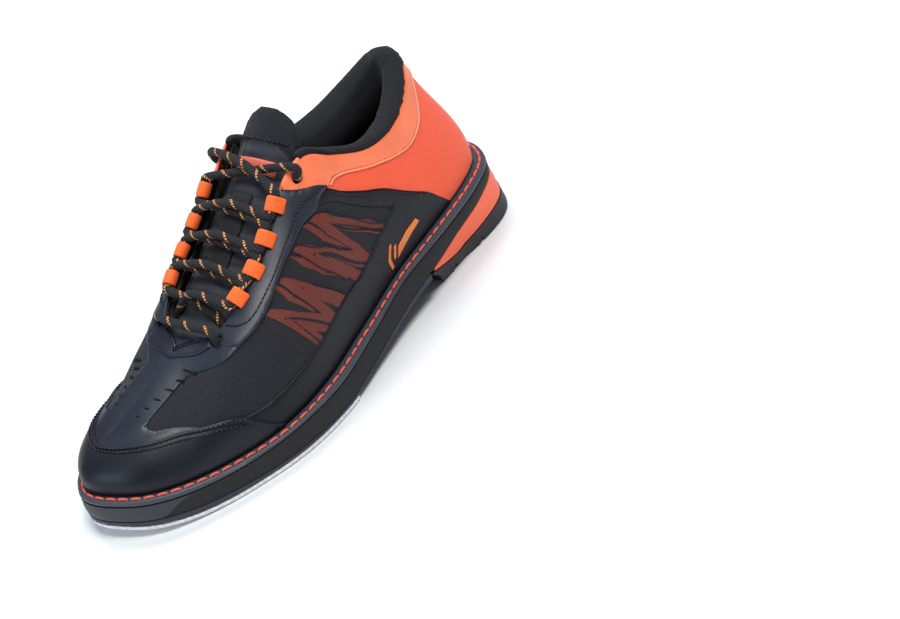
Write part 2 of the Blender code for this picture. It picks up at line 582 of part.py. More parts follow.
# x and z of the upper face on the centre line, half width, edge drop, thickness
TONGUE = [(92, 44.5, 14, 4, 3.0), (80, 48.5, 12, 3, 3.5), (70, 54.0, 10.5, 2.5, 4.5), (58, 62.5, 11.5, 3.5, 6),
          (46, 71.0, 19, 6.5, 7), (30, 80.0, 23, 10, 7), (8, 95.5, 22, 11, 7), (-10.5, 107.5, 17, 8, 7.5)]
TIP = [(-13, 110.2, 17, 7, 8), (-19, 117, 18.5, 6, 9), (-26.5, 124, 18.5, 5.5, 9.5), (-32, 129, 17.5, 5, 8.5),
       (-35, 131.2, 15, 4, 6), (-36.5, 132, 10, 3, 3)]


def across(row, step_back):
    """unit vector square to the tongue's length, pointing up and out of the shoe"""
    d = np.asarray(row) - np.asarray(step_back)
    d /= np.linalg.norm(d)
    n = np.array([d[1], 0, -d[0]])
    return n if n[2] > 0 else -n


def tongue_point(rows, u, w, off):
    """point over the tongue: u along 0..1, w across -1..1, off above the upper face"""
    R = spline(rows, 6)
    s = np.linspace(0, 1, len(R))
    x, z, half, drop, thick = (float(np.interp(u, s, R[:, k])) for k in range(5))
    ahead, back = ([np.interp(q, s, R[:, k]) for k in (0, 1)] for q in (min(u + 0.03, 1), max(u - 0.03, 0)))
    n = across(ahead, back)
    return np.array([x, YC + half * w, z]) - n * (drop * w * w - off), n, thick


def tongue_sections(rows, stations, width):
    out = []
    for u in np.linspace(0, 1, stations):
        top, low = [], []
        for w in np.linspace(-1, 1, width):
            p, n, thick = tongue_point(rows, u, w, 0.0)
            top.append(p)
            low.append(p - n * thick * (1 - 0.62 * w ** 4))
        out.append(np.array(top + low[::-1]))
    return out


def plate_on_tongue(name, rows, along, half, low, high, finish):
    """thin plate over the tongue: between two stations, half its width, from low to high above the face"""
    sections = []
    for u in np.linspace(*along, 3):
        ws = np.linspace(-half, half, 5)
        sections.append(np.array([tongue_point(rows, u, w, high)[0] for w in ws]
                                 + [tongue_point(rows, u, w, low)[0] for w in ws[::-1]]))
    return swept(name, sections, finish)


swept("tongue", tongue_sections(TONGUE, 17, 7), "black_textile")
TIP_FOLD = (-11.8, YC, 108.9)  # the tip folds forward about its seam with the tongue
turns_about(swept("tongue_tip", tongue_sections(TIP, 12, 7), "black_textile"), TIP_FOLD)
turns_about(plate_on_tongue("tongue_label", TIP, (0.12, 0.30), 0.6, 0.5, 1.3, "orange_webbing"), TIP_FOLD)
plate_on_tongue("tongue_keeper", TONGUE, (0.802, 0.835), 0.42, 0.4, 1.4, "black_textile")

# ---------------------------------------------------------------- webbing lace loops on the throat's edges
LOOPS = [0.711, 0.660, 0.613, 0.568]
LOOP_IN, LOOP_UP = 4.8, -0.6  # the lace's centre in a loop: inward from the throat's edge, above the skin
LOOP_RADIUS, LOOP_HALF = 3.8, 3.9
LACE = 2.2  # radius


def throat_frame(t, side):
    """point on the throat's edge, with the directions along it, out of the skin, and inward across the throat"""
    along = upper(t + 0.01, 1.0, side) - upper(t - 0.01, 1.0, side)
    along /= np.linalg.norm(along)
    out = upper_normal(t, 0.97, side)
    inward = np.cross(out, along)
    inward *= -np.sign(inward[1] * side) / np.linalg.norm(inward)
    return upper(t, 1.0, side), along, out, inward


for side, tag in SIDES.items():
    for number, t in enumerate(LOOPS, 1):
        edge, along, out, inward = throat_frame(t, side)
        bend = [(LOOP_IN + LOOP_RADIUS * math.cos(q), LOOP_UP + LOOP_RADIUS * math.sin(q))
                for q in np.radians(np.linspace(112, -105, 8))]
        path = np.array([(-6.6, 0.85), (-1.5, 1.2)] + bend)
        d = np.gradient(path, axis=0)
        half = np.c_[-d[:, 1], d[:, 0]] / np.linalg.norm(d, axis=1, keepdims=True) * 0.4
        strip = np.vstack([path + half, (path - half)[::-1]])
        swept("lace_loop_%s_%d" % (tag, number),
              [np.array([edge + inward * p + out * q + along * w for p, q in strip]) for w in (-LOOP_HALF, LOOP_HALF)],
              "orange_webbing")

# ---------------------------------------------------------------- shoelace: one cord from tail to tail
OVER = 4.8  # extra height of the strand that crosses on top


def in_loop(t, side):
    edge, along, out, inward = throat_frame(t, side)
    g = edge + inward * LOOP_IN + out * LOOP_UP
    return [g + along * 6.7 + inward * 1.2, g + along * 3, g, g - along * 3, g - along * 6.7 + inward * 1.2]


def crossing(p, q, lift):
    """the strand's middle, over the tongue"""
    x = (p[0] + q[0]) / 2
    R = spline(TONGUE, 6)
    z = float(np.interp(-x, -R[:, 0], R[:, 1]))
    return [np.array([x, YC, z + LACE * 1.3 + 1.6 + lift])]


def half_lace(first, on_top):
    """from the low eyelet on one side up through the loops to a tail inside the top eyelet"""
    side = first
    edge, along, out, inward = throat_frame(0.762, side)
    t, v = LOW_HOLE
    points = [on(t, v, 1.0, side), on(t, v, -3.0, side), on(t, v, -7.6, side),
              on(t - 0.006, v + 0.04, INSIDE - 0.6, side), edge + inward * 5.2 - out * 4.8]
    for k, t in enumerate(LOOPS):
        side = -side
        loop = in_loop(t, side)
        points += crossing(points[-1], loop[0], OVER if k % 2 == on_top else 0.0) + loop
    side = -side
    t, v = TOP_HOLE
    hole = [on(t, v + 0.07, LACE + 1.0, side), on(t, v, 1.2, side), on(t, v, -3.0, side), on(t, v, -7.6, side)]
    points += crossing(points[-1], hole[0], OVER * on_top) + hole
    return points + [on(t, v - 0.10, INSIDE - 0.4, side), on(t + 0.004, 0.66, INSIDE, side), on(t + 0.007, 0.52, INSIDE, side)]


low_bar = [on(LOW_HOLE[0], 0.955, LACE + 1.0, 1), np.array([64.5, 6, 69.0]), np.array([64.5, -10, 69.0]),
           on(LOW_HOLE[0], 0.955, LACE + 1.0, -1)]
ROUTE = half_lace(1, 1)[::-1] + low_bar + half_lace(-1, 0)
fine = spline(ROUTE, 8)
run = arc(fine)
stops = np.linspace(0, run[-1], int(run[-1] / 5.0))
cord("shoelace", np.stack([np.interp(stops, run, fine[:, k]) for k in range(3)], -1), LACE, "black_textile")
for end, before in ((ROUTE[0], ROUTE[1]), (ROUTE[-1], ROUTE[-2])):
    along = (end - before) / np.linalg.norm(end - before)
    cord("aglet_" + ("lateral" if end[1] > YC else "medial"), [end + along * k for k in (0.4, 12.0)], 1.7, "clear_plastic", 2)


# ---------------------------------------------------------------- sewn lines
def seam(name, points, off=1.0, radius=0.4, step=6.5):
    """sewn cord on the skin through (side, t, v) points"""
    path = []
    for (s0, t0, v0), (s1, t1, v1) in zip(points, points[1:]):
        n = max(1, int(np.hypot((t1 - t0) * TS, (v1 - v0) * VS) / step)) if s0 == s1 else 1
        path += [on(t0 + (t1 - t0) * i / n, v0 + (v1 - v0) * i / n, off, s0) for i in range(n)]
    side, t, v = points[-1]
    return cord(name, path + [on(t, v, off, side)], radius, "black_textile", 0)


CAP_SEAM = [(0.745, 0.225), (0.79, 0.238), (0.838, 0.275), (0.906, 0.402), (0.965, 0.545), (0.992, 0.605)]
for row, below in ((1, 0.030), (2, 0.070)):
    half = [(t, v - below) for t, v in CAP_SEAM]
    seam("toe_cap_seam_%d" % row, [(1, t, v) for t, v in half] + [(-1, t, v) for t, v in half[::-1]])
STAY_SEAM = [(0.539, 0.845), (0.563, 0.852), (0.610, 0.840), (0.653, 0.826), (0.693, 0.80), (0.722, 0.82), (0.748, 0.84)]
for side, tag in SIDES.items():
    seam("eyestay_seam_" + tag, [(side, t, v) for t, v in STAY_SEAM])
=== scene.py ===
# Left bowling shoe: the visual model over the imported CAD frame, drawn in mm and handed over in metres.
import math

import bmesh
import bpy
import numpy as np
from mathutils import Matrix, Vector
from mathutils.bvhtree import BVHTree
from mathutils.geometry import delaunay_2d_cdt
from mathutils.interpolate import poly_3d_calc


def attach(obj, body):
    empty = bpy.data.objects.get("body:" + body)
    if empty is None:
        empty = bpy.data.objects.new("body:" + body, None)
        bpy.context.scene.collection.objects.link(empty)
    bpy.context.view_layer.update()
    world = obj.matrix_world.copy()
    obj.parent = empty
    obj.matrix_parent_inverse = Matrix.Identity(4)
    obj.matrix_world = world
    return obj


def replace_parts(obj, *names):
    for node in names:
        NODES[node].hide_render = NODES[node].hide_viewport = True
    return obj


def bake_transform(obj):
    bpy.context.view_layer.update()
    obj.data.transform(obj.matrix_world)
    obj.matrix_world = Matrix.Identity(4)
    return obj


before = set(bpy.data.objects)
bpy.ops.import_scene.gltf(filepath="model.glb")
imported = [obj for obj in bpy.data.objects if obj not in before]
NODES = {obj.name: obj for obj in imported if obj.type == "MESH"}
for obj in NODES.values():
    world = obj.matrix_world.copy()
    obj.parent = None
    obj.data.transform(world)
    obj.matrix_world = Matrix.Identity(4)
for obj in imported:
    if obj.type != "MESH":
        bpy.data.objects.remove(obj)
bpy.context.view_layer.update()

PLAN_CENTRE = np.array([-0.78, 3.39, 0.0])  # middle of the finished shoe in the drawing's own axes
MM = 0.001

# ---------------------------------------------------------------- plan outline of the welt (mm), heel to toe
OUTER = [(-148.5, 0), (-144.5, 14), (-132.5, 27), (-108, 36), (-75, 40.5), (-40, 43), (-5, 49), (30, 56),
         (62, 56.3), (92, 48.5), (120, 36), (139, 21), (148.5, 2), (150, -12)]
INNER = [(-148.5, 0), (-144.5, -14), (-132.5, -26), (-108, -34), (-75, -36.5), (-40, -35.5), (-5, -38),
         (30, -43.5), (62, -49), (92, -50), (117, -44.5), (134, -35), (145, -23), (150, -12)]

SPAN = 14  # points between two corners of the plan outline


def span(a, b, c, d, n):
    """n points of a Catmull-Rom curve from b on towards c"""
    T = np.linspace(0, 1, n, endpoint=False)[:, None]
    square, cube = 2 * a - 5 * b + 4 * c - d, 3 * b - a - 3 * c + d
    return 0.5 * (2 * b + (c - a) * T + square * T ** 2 + cube * T ** 3)


def spline_loop(pts, n=SPAN):
    """closed smooth curve through the points"""
    P = np.array(pts, float)
    m = len(P)
    return np.vstack([span(P[i - 1], P[i], P[(i + 1) % m], P[(i + 2) % m], n) for i in range(m)])


def spline(pts, n=8):
    """open smooth curve through the points, its end included"""
    P = np.array(pts, float)
    Q = np.vstack([2 * P[0] - P[1], P, 2 * P[-1] - P[-2]])
    return np.vstack([span(*Q[i - 1:i + 3], n) for i in range(1, len(Q) - 2)] + [P[-1:]])


def arc(C):
    """length along a curve at each of its points"""
    return np.r_[0, np.cumsum(np.linalg.norm(np.diff(C, axis=0), axis=1))]


def resample(C, s, q):
    """a curve's values at the lengths q, s being the lengths at its own points"""
    return np.stack([np.interp(q, s, C[:, k]) for k in range(C.shape[1])], -1)


WHOLE_EDGE = spline_loop(OUTER + INNER[-2:0:-1])
TOE = SPAN * (len(OUTER) - 1)  # the toe's place in it
EDGE = {1: WHOLE_EDGE[:TOE + 1], -1: np.vstack([WHOLE_EDGE[TOE:], WHOLE_EDGE[:1]])[::-1]}
EARC = {s: arc(EDGE[s]) for s in EDGE}


def outline(t, side):
    """welt's edge in plan: t from 0 at the heel to 1 at the toe, side 1 lateral or -1 medial"""
    C, s = EDGE[side], EARC[side]
    t = np.asarray(t, float)
    return resample(C, s, t * s[-1])


def plan_normal(t, side):
    """outward direction across the outline, in plan"""
    t, reach = np.asarray(t, float), 4e-3
    d = outline(np.clip(t + reach, 0, 1), side) - outline(np.clip(t - reach, 0, 1), side)
    d = np.where((t < reach)[..., None], np.array([0.0, side]), d)
    d = np.where((t > 1 - reach)[..., None], np.array([0.0, -side]), d)
    d = d / np.linalg.norm(d, axis=-1, keepdims=True)
    return np.stack([-side * d[..., 1], side * d[..., 0]], -1)


def smooth(x, X, Y):
    """smooth curve through the knots X, Y, level beyond its ends"""
    X, Y = np.array(X, float), np.array(Y, float)
    x = np.clip(np.asarray(x, float), X[0], X[-1])
    m = np.gradient(Y, X)
    i = np.clip(np.searchsorted(X, x, side='right') - 1, 0, len(X) - 2)
    h = X[i + 1] - X[i]
    s = (x - X[i]) / h
    return ((2 * s ** 3 - 3 * s ** 2 + 1) * Y[i] + (s ** 3 - 2 * s ** 2 + s) * h * m[i]
            + (3 * s ** 2 - 2 * s ** 3) * Y[i + 1] + (s ** 3 - s ** 2) * h * m[i + 1])


# heights of the sole stack along x, each a smooth curve through knots
def welt_z(x):
    return smooth(x, [-150, -110, -60, -10, 40, 90, 125, 150], [34, 34, 30, 22.5, 18.5, 17, 19.5, 23.5])


def band_top(x):
    return smooth(x, [-150, -110, -80, -40, -10, 25, 60, 90, 125, 150],
                  [30.6, 30.4, 28.6, 25, 19.6, 16, 15.4, 14.4, 16.3, 20])


def band_low(x):
    return smooth(x, [-150, -110, -90, -70, -50, -25, 0, 20, 60, 90, 120, 150],
                  [26.5, 23.8, 22, 18.3, 15, 10.8, 6.6, 4.6, 4.4, 4.8, 6.6, 10.6])


def rim_low(x):
    return smooth(x, [-150, -60, -45, -25, -5, 10, 22, 60, 104, 125, 140, 150],
                  [12.5, 12.3, 10.6, 8, 5.2, 3.4, 2.6, 2.4, 2.4, 3.7, 6.0, 8.2])


def pad_low(x):
    return np.maximum(smooth(x, [-30, 60, 104, 125, 140, 150], [0, 0, 0, 1.3, 3.6, 5.8]), 0)


def heel_top(x):
    return smooth(x, [-150, -110, -95, -88, -80, -72, -64, -58], [10, 10, 9.3, 8.8, 10.2, 12.4, 14.6, 15.4])


# ---------------------------------------------------------------- upper surface
# ribs run from the welt to the top line, each one a cubic curve
# t, top x y z, lower handle (out, up), upper handle (out, up)
RIBS = {1: [(0.00, -124, -3, 110, 4, 26, 1, -26), (0.09, -119, 9, 108, 4, 25, 4, -26),
            (0.18, -103, 20, 100, 3, 22, 6, -22), (0.28, -82, 27, 94, 2, 20, 6, -20),
            (0.37, -60, 28, 96, 2, 22, 7, -20), (0.44, -40, 27, 107, 2, 26, 8, -22),
            (0.49, -25, 25, 116, 2, 28, 11, -20), (0.53, -11, 22, 111, 2, 27, 13, -17),
            (0.58, 5, 23, 98, 2, 25, 15, -13), (0.65, 26, 24, 83, 2, 21, 17, -9),
            (0.72, 45, 22, 73, 2, 18, 18, -6), (0.78, 60, 16, 65, 2, 17, 20, -3),
            (0.84, 72, -2, 60, 2, 17, 22, -2), (0.90, 90, -4, 54.5, 4, 17, 20, -3.5),
            (0.96, 106, -6, 49, 6, 16, 17, -5), (1.00, 113, -8, 46.5, 7, 16, 15, -5.4)],
        -1: [(0.00, -124, -3, 110, 4, 26, 1, -26), (0.09, -119, -15, 108, 4, 25, 4, -26),
             (0.18, -103, -26, 99, 3, 22, 6, -22), (0.28, -82, -32, 93, 2, 20, 6, -20),
             (0.37, -60, -33, 95, 2, 22, 7, -20), (0.44, -40, -32, 106, 2, 26, 8, -22),
             (0.49, -25, -30, 116, 2, 28, 11, -20), (0.53, -11, -27, 111, 2, 27, 13, -17),
             (0.58, 5, -27, 98, 2, 24, 14, -13), (0.65, 26, -27, 84, 2, 20, 16, -9),
             (0.72, 45, -25, 74, 2, 18, 16, -6), (0.78, 60, -18, 66, 3, 18, 18, -3),
             (0.84, 72, -2, 60, 5, 20, 20, -2), (0.90, 90, -4, 54.5, 8, 19, 19, -3.5),
             (0.96, 106, -6, 49, 8, 17, 17, -5), (1.00, 113, -8, 46.5, 7, 16, 15, -5.4)]}
INSET = 5.5  # the upper meets the welt this far inside its edge
RIDGE = 0.84  # from this t on, both sides share one ridge in front of the throat


def upper(t, v, side):
    """the upper's base surface: t along the outline, v from the welt (0) to the top line (1)"""
    t, v = np.broadcast_arrays(np.asarray(t, float), np.asarray(v, float))
    n = plan_normal(t, side)
    p = outline(t, side) - n * INSET
    B = np.concatenate([p, welt_z(p[..., :1])], -1)
    R = np.array(RIBS[side])
    r = np.stack([smooth(t, R[:, 0], R[:, k]) for k in range(1, 8)], -1)
    n3, up = np.concatenate([n, 0 * n[..., :1]], -1), np.array([0, 0, 1.0])
    M = np.array(RIBS[-side])
    other = np.stack([smooth(t, M[:, 0], M[:, k]) for k in (1, 2, 3)], -1)
    T = np.where((t >= RIDGE)[..., None], (r[..., :3] + other) / 2, r[..., :3])
    P1 = B + n3 * r[..., 3:4] + up * r[..., 4:5]
    P2 = T + n3 * r[..., 5:6] + up * r[..., 6:7]
    v = v[..., None]
    w = 1 - v
    return w ** 3 * B + 3 * w * w * v * P1 + 3 * w * v * v * P2 + v ** 3 * T


def upper_normal(t, v, side):
    t, v = np.broadcast_arrays(np.asarray(t, float), np.asarray(v, float))
    e = 2e-3
    a = upper(np.minimum(t + e, 1), v, side) - upper(np.maximum(t - e, 0), v, side)
    b = upper(t, np.minimum(v + e, 1), side) - upper(t, np.maximum(v - e, 0), side)
    n = np.cross(a, b) * -side
    return n / np.linalg.norm(n, axis=-1, keepdims=True)


def on(t, v, off, side):
    """point off the base surface, by off mm along its normal"""
    return upper(t, v, side) + upper_normal(t, v, side) * off


# ---------------------------------------------------------------- camera, lights, floor
LENS, SENSOR = 109.38, 36.0
RIGHT = Vector((-0.60999546, 0.73212883, -0.30313844))
DOWN = Vector((0.5965651, 0.17251153, -0.78380473))
FORWARD = Vector((-0.52155116, -0.65895914, -0.54199376))
EYE = Vector((0.68306, 0.97987, 0.76522))


def aim(ob, target):
    ob.rotation_euler = (Vector(target) - ob.location).to_track_quat("-Z", "Y").to_euler()


def add_light(name, place, target, size, power, colour=(1, 1, 1)):
    data = bpy.data.lights.new(name, "AREA")
    data.shape, data.size, data.size_y = "RECTANGLE", *size
    data.energy, data.color = power, colour
    ob = bpy.data.objects.new(name, data)
    bpy.context.scene.collection.objects.link(ob)
    ob.location = place
    aim(ob, target)
    return ob


camera = bpy.data.objects.new("camera", bpy.data.cameras.new("camera"))
camera.data.lens, camera.data.sensor_width = LENS, SENSOR
camera.data.clip_start = 0.05
camera.matrix_world = Matrix.Translation(EYE) @ Matrix((RIGHT, -DOWN, -FORWARD)).transposed().to_4x4()
bpy.context.scene.collection.objects.link(camera)
bpy.context.scene.camera = camera

studio_world = bpy.data.worlds.new("studio")
studio_world.use_nodes = True
studio_world.node_tree.nodes["Background"].inputs["Color"].default_value = (0.84, 0.92, 1.0, 1)
studio_world.node_tree.nodes["Background"].inputs["Strength"].default_value = 0.26
bpy.context.scene.world = studio_world
bpy.context.scene.view_settings.view_transform = "Standard"
add_light("key", (0.10, 0.55, 1.35), (0.02, 0, 0.05), (0.6, 0.5), 15, (1, 0.985, 0.97))
add_light("top", (-0.35, -0.45, 1.3), (0, 0, 0.05), (0.8, 0.6), 13.5, (0.84, 0.92, 1))
add_light("toe", (1.15, -0.15, 0.55), (0.05, 0, 0.04), (0.45, 0.5), 4.2, (0.80, 0.90, 1))


# ---------------------------------------------------------------- materials
class Graph:
    """a Principled material and short ways to add nodes to it"""

    def __init__(self, name, colour, roughness, **sockets):
        self.mat = bpy.data.materials.new(name)
        self.mat.use_nodes = True
        self.tree = self.mat.node_tree
        self.bsdf = self.tree.nodes["Principled BSDF"]
        self.bsdf.inputs["Base Color"].default_value = (*colour, 1)
        self.bsdf.inputs["Roughness"].default_value = roughness
        for key, value in sockets.items():
            self.bsdf.inputs[key.replace("_", " ")].default_value = value
        self.colour, self.roughness = colour, roughness

    def node(self, kind, inputs=None, **settings):
        n = self.tree.nodes.new("ShaderNode" + kind)
        for key, value in settings.items():
            setattr(n, key, value)
        for key, value in (inputs or {}).items():
            if isinstance(value, bpy.types.NodeSocket):
                self.tree.links.new(value, n.inputs[key])
            else:
                n.inputs[key].default_value = value
        return n

    def math(self, operation, a, b=0.0, clamp=False):
        return self.node("Math", {0: a, 1: b}, operation=operation, use_clamp=clamp).outputs[0]

    def place(self):
        return self.node("TexCoord").outputs["Object"]

    def uv(self):
        n = self.node("SeparateXYZ", {0: self.node("UVMap", uv_map="mm").outputs[0]})
        return n.outputs[0], n.outputs[1]

    def noise(self, scale, detail=2.0, vector=None):
        return self.node("TexNoise", {"Vector": vector or self.place(), "Scale": scale,
                                      "Detail": detail}).outputs[0]

    def cells(self, scale):
        return self.node("TexVoronoi", {"Vector": self.place(), "Scale": scale}).outputs["Distance"]

    def wave(self, value, pitch, phase=0.0):
        """0..1 cosine of a length in mm"""
        turn = self.math("MULTIPLY_ADD", value, 2 * math.pi / pitch)
        turn.node.inputs[2].default_value = phase
        half = self.math("MULTIPLY_ADD", self.math("COSINE", turn), 0.5)
        half.node.inputs[2].default_value = 0.5
        return half

    def mix(self, factor, a, b):
        n = self.node("Mix", {"Factor": factor}, data_type="RGBA")
        for slot, value in ((6, a), (7, b)):
            if isinstance(value, bpy.types.NodeSocket):
                self.tree.links.new(value, n.inputs[slot])
            else:
                n.inputs[slot].default_value = (*value, 1)
        return n.outputs[2]

    def ramp(self, value, low, high):
        """0 below low, 1 above high"""
        return self.node("MapRange", {"Value": value, "From Min": low, "From Max": high}).outputs[0]

    def paint(self, colour):
        self.tree.links.new(colour, self.bsdf.inputs["Base Color"])

    def tone(self, factor, low, high):
        """base colour swings between two brightness factors"""
        shade = [tuple(c * k for c in self.colour) for k in (low, high)]
        self.paint(self.mix(factor, *shade))

    def gloss(self, factor, low, high):
        n = self.node("MapRange", {"Value": factor, "To Min": low, "To Max": high})
        self.tree.links.new(n.outputs[0], self.bsdf.inputs["Roughness"])

    def relief(self, *layers):
        """bump from (height, millimetres) pairs"""
        last = None
        for height, depth in layers:
            n = self.node("Bump", {"Height": height, "Strength": 1.0, "Distance": depth * MM})
            if last:
                self.tree.links.new(last, n.inputs["Normal"])
            last = n.outputs[0]
        self.tree.links.new(last, self.bsdf.inputs["Normal"])


def synthetic(name, colour, roughness, coat=0.0, specular=0.42):
    """smooth coated microfibre with a very fine grain"""
    g = Graph(name, colour, roughness, Coat_Weight=coat, Coat_Roughness=0.25, Specular_IOR_Level=specular)
    broad, fine = g.noise(45, 3), g.noise(1500, 2)
    g.tone(g.ramp(broad, 0.3, 0.7), 0.88, 1.12)
    g.gloss(g.ramp(broad, 0.25, 0.75), roughness - 0.05, roughness + 0.06)
    g.relief((g.cells(1300), 0.035), (fine, 0.03), (broad, 0.25))
    return g.mat


def woven(name, colour, roughness, pitch_u, pitch_v, depth, dark=0.55, sheen=0.06, shift=True):
    """knitted or woven cloth from the piece's own lengthwise and crosswise millimetres"""
    g = Graph(name, colour, roughness, Sheen_Weight=sheen, Sheen_Roughness=0.4, Specular_IOR_Level=0.3)
    u, v = g.uv()
    row = g.wave(v, pitch_v)
    if shift:
        odd = g.math("MULTIPLY", g.math("ROUND", g.math("DIVIDE", v, pitch_v)), pitch_u / 2)
        u = g.math("ADD", u, odd)
    cell = g.math("MULTIPLY", g.math("POWER", row, 0.6), g.math("POWER", g.wave(u, pitch_u), 0.7))
    yarn = g.noise(900, 3)
    # the base colour follows the weave's relief, with dark as its factor down in the hollows: painted shade
    # in the weave's hollows
    g.tone(g.math("ADD", g.math("MULTIPLY", cell, 0.75), g.math("MULTIPLY", yarn, 0.3)), dark, 1.25)
    g.relief((cell, depth), (yarn, 0.08))
    return g.mat


def rubber(name, colour, roughness, grain, depth):
    g = Graph(name, colour, roughness, Specular_IOR_Level=0.4)
    broad = g.noise(30, 4)
    g.tone(g.math("ADD", g.math("MULTIPLY", g.noise(grain, 2), 0.5), g.math("MULTIPLY", broad, 0.5)), 0.75,
           1.25)
    g.gloss(broad, roughness - 0.08, roughness + 0.08)
    g.relief((g.cells(grain), depth), (g.noise(grain * 2, 2), depth * 0.6))
    return g.mat


def lace_cloth():
    """braided round cord: black with tracer threads, u once round, v millimetres along"""
    g = Graph("lace_cloth", (0.011, 0.011, 0.013), 0.75, Sheen_Weight=0.05, Specular_IOR_Level=0.3)
    u, v = g.uv()
    turn = g.math("MULTIPLY", u, 6.0)
    fall = g.math("DIVIDE", v, 2.1)
    one = g.math("ABSOLUTE", g.math("SINE", g.math("MULTIPLY", g.math("ADD", turn, fall), math.pi)))
    two = g.math("ABSOLUTE", g.math("SINE", g.math("MULTIPLY", g.math("SUBTRACT", turn, fall), math.pi)))
    braid = g.math("MULTIPLY", one, two)
    helix = g.math("FRACT", g.math("ADD", g.math("DIVIDE", v, 12.6), g.math("MULTIPLY", u, -1.0)))
    tracer = g.math("LESS_THAN", helix, 0.13)
    dash = g.math("GREATER_THAN", g.math("SINE", g.math("MULTIPLY", g.math("ADD", turn, fall), 2 * math.pi)),
                  -0.35)
    fleck = g.math("MULTIPLY", tracer, dash)
    yarn = g.noise(1500, 2)
    relief = g.math("ADD", g.math("MULTIPLY", braid, 0.7), g.math("MULTIPLY", yarn, 0.3))
    # the black cord is painted darker in the braid's grooves than on its crests: painted shade; the orange
    # tracer flecks are the lace's own colour
    black = g.mix(relief, (0.004, 0.004, 0.005), (0.022, 0.022, 0.025))
    g.paint(g.mix(fleck, black, (0.85, 0.34, 0.10)))
    g.relief((braid, 0.35), (yarn, 0.06))
    return g.mat


def herringbone():
    """white slide microfibre, pressed with chevron rows along the sole"""
    g = Graph("pad_white", (0.78, 0.79, 0.81), 0.9, Sheen_Weight=0.2, Specular_IOR_Level=0.2)
    place = g.node("SeparateXYZ", {0: g.place()})
    along, across = (g.math("MULTIPLY", place.outputs[k], 1000.0) for k in (0, 1))
    swing = g.math("ABSOLUTE", g.math("SUBTRACT", g.math("FRACT", g.math("DIVIDE", across, 13.0)), 0.5))
    ridge = g.wave(g.math("ADD", along, g.math("MULTIPLY", swing, 9.0)), 4.2)
    # the pad is darker in the pressed chevron grooves: painted shade
    g.tone(ridge, 0.86, 1.0)
    g.relief((ridge, 0.35), (g.noise(1800, 2), 0.05))
    return g.mat


# the upper's one black synthetic in four copies: skin_black on the vamp and throat is the base; the eyestay's
# copy is lighter and bluer, painted highlight where the top light falls; the toe cap's and the side's copies
# are darker, painted shade. The cap's rougher, less glossy finish is its own
SKIN_BLACK = synthetic("skin_black", (0.0105, 0.0140, 0.0250), 0.39, 0.05)
SKIN_CAP_PAINTED_SHADE = synthetic("skin_cap_painted_shade", (0.0048, 0.0065, 0.0120), 0.45, 0.02, 0.32)
SKIN_STAY_PAINTED_HIGHLIGHT = synthetic("skin_stay_painted_highlight", (0.0135, 0.0178, 0.0295), 0.41, 0.05)
SKIN_SIDE_PAINTED_SHADE = synthetic("skin_side_painted_shade", (0.0034, 0.0045, 0.0080), 0.45, 0.0, 0.28)
SKIN_ORANGE = synthetic("skin_orange", (1.0, 0.21, 0.085), 0.36, 0.15)
PIPING = synthetic("piping_pale", (0.98, 0.36, 0.20), 0.4)
WINDOW = woven("window_mesh", (0.025, 0.0245, 0.0335), 0.8, 1.5, 1.05, 0.25, 0.15)
CORAL = woven("heel_cloth", (1.0, 0.122, 0.052), 0.75, 1.3, 1.1, 0.10, 0.80, 0.15)
COLLAR_MESH = woven("collar_mesh", (0.014, 0.014, 0.018), 0.85, 1.7, 1.4, 0.35, 0.35)
SATIN = woven("tongue_satin", (0.036, 0.039, 0.051), 0.50, 6.0, 1.1, 0.16, 0.35, 0.12, False)
TIP_MESH = woven("tip_mesh", (0.016, 0.016, 0.021), 0.85, 1.5, 1.2, 0.32, 0.4)
PRINT = woven("print_red", (0.215, 0.038, 0.024), 0.65, 1.5, 1.05, 0.14, 0.3, 0.1)
WEBBING = woven("webbing_orange", (1.0, 0.14, 0.018), 0.6, 1.1, 0.9, 0.10, 0.8, 0.2)
WEBBING_BLACK = woven("webbing_black", (0.014, 0.014, 0.017), 0.7, 1.4, 0.9, 0.16, 0.5)
LABEL = woven("label_cloth", (0.80, 0.16, 0.10), 0.7, 1.1, 0.9, 0.08, 0.6, 0.2)
LACE_CLOTH = lace_cloth()
THREAD = rubber("thread_black", (0.005, 0.005, 0.007), 0.38, 2500, 0.02)
SLOT = rubber("slot_shadow", (0.0015, 0.0015, 0.002), 0.95, 900, 0.02)
THREAD_ORANGE = rubber("thread_orange", (0.85, 0.13, 0.075), 0.6, 2500, 0.03)
BAND = rubber("band_black", (0.0135, 0.0135, 0.0145), 0.78, 900, 0.10)
RIB = rubber("rib_grey", (0.048, 0.053, 0.071), 0.5, 1500, 0.03)
RIM = rubber("rim_grey", (0.030, 0.033, 0.042), 0.55, 1500, 0.03)
WEDGE = rubber("wedge_orange", (1.0, 0.14, 0.05), 0.5, 1500, 0.02)
HEEL_BLACK = rubber("heel_black", (0.013, 0.014, 0.017), 0.6, 900, 0.08)
PAD_WHITE = herringbone()
BOARD = rubber("board", (0.28, 0.21, 0.13), 0.9, 600, 0.05)
BADGE_ORANGE = synthetic("badge_orange", (0.78, 0.20, 0.035), 0.4)
CLEAR = Graph("clear_tip", (0.5, 0.5, 0.5), 0.25).mat
STUDIO = Graph("studio_floor", (0.86, 0.87, 0.88), 0.9)
STUDIO.tone(STUDIO.noise(3, 3), 0.99, 1.01)

FLOOR = 6.0  # metres from the middle to each side
floor_mesh = bpy.data.meshes.new("floor")
floor_corners = [(-FLOOR, -FLOOR, 0), (FLOOR, -FLOOR, 0), (FLOOR, FLOOR, 0), (-FLOOR, FLOOR, 0)]
floor_mesh.from_pydata(floor_corners, [], [(0, 1, 2, 3)])
floor_mesh.materials.append(STUDIO.mat)
floor = bpy.data.objects.new("floor", floor_mesh)
floor.location.z = -0.0004
bpy.context.scene.collection.objects.link(floor)


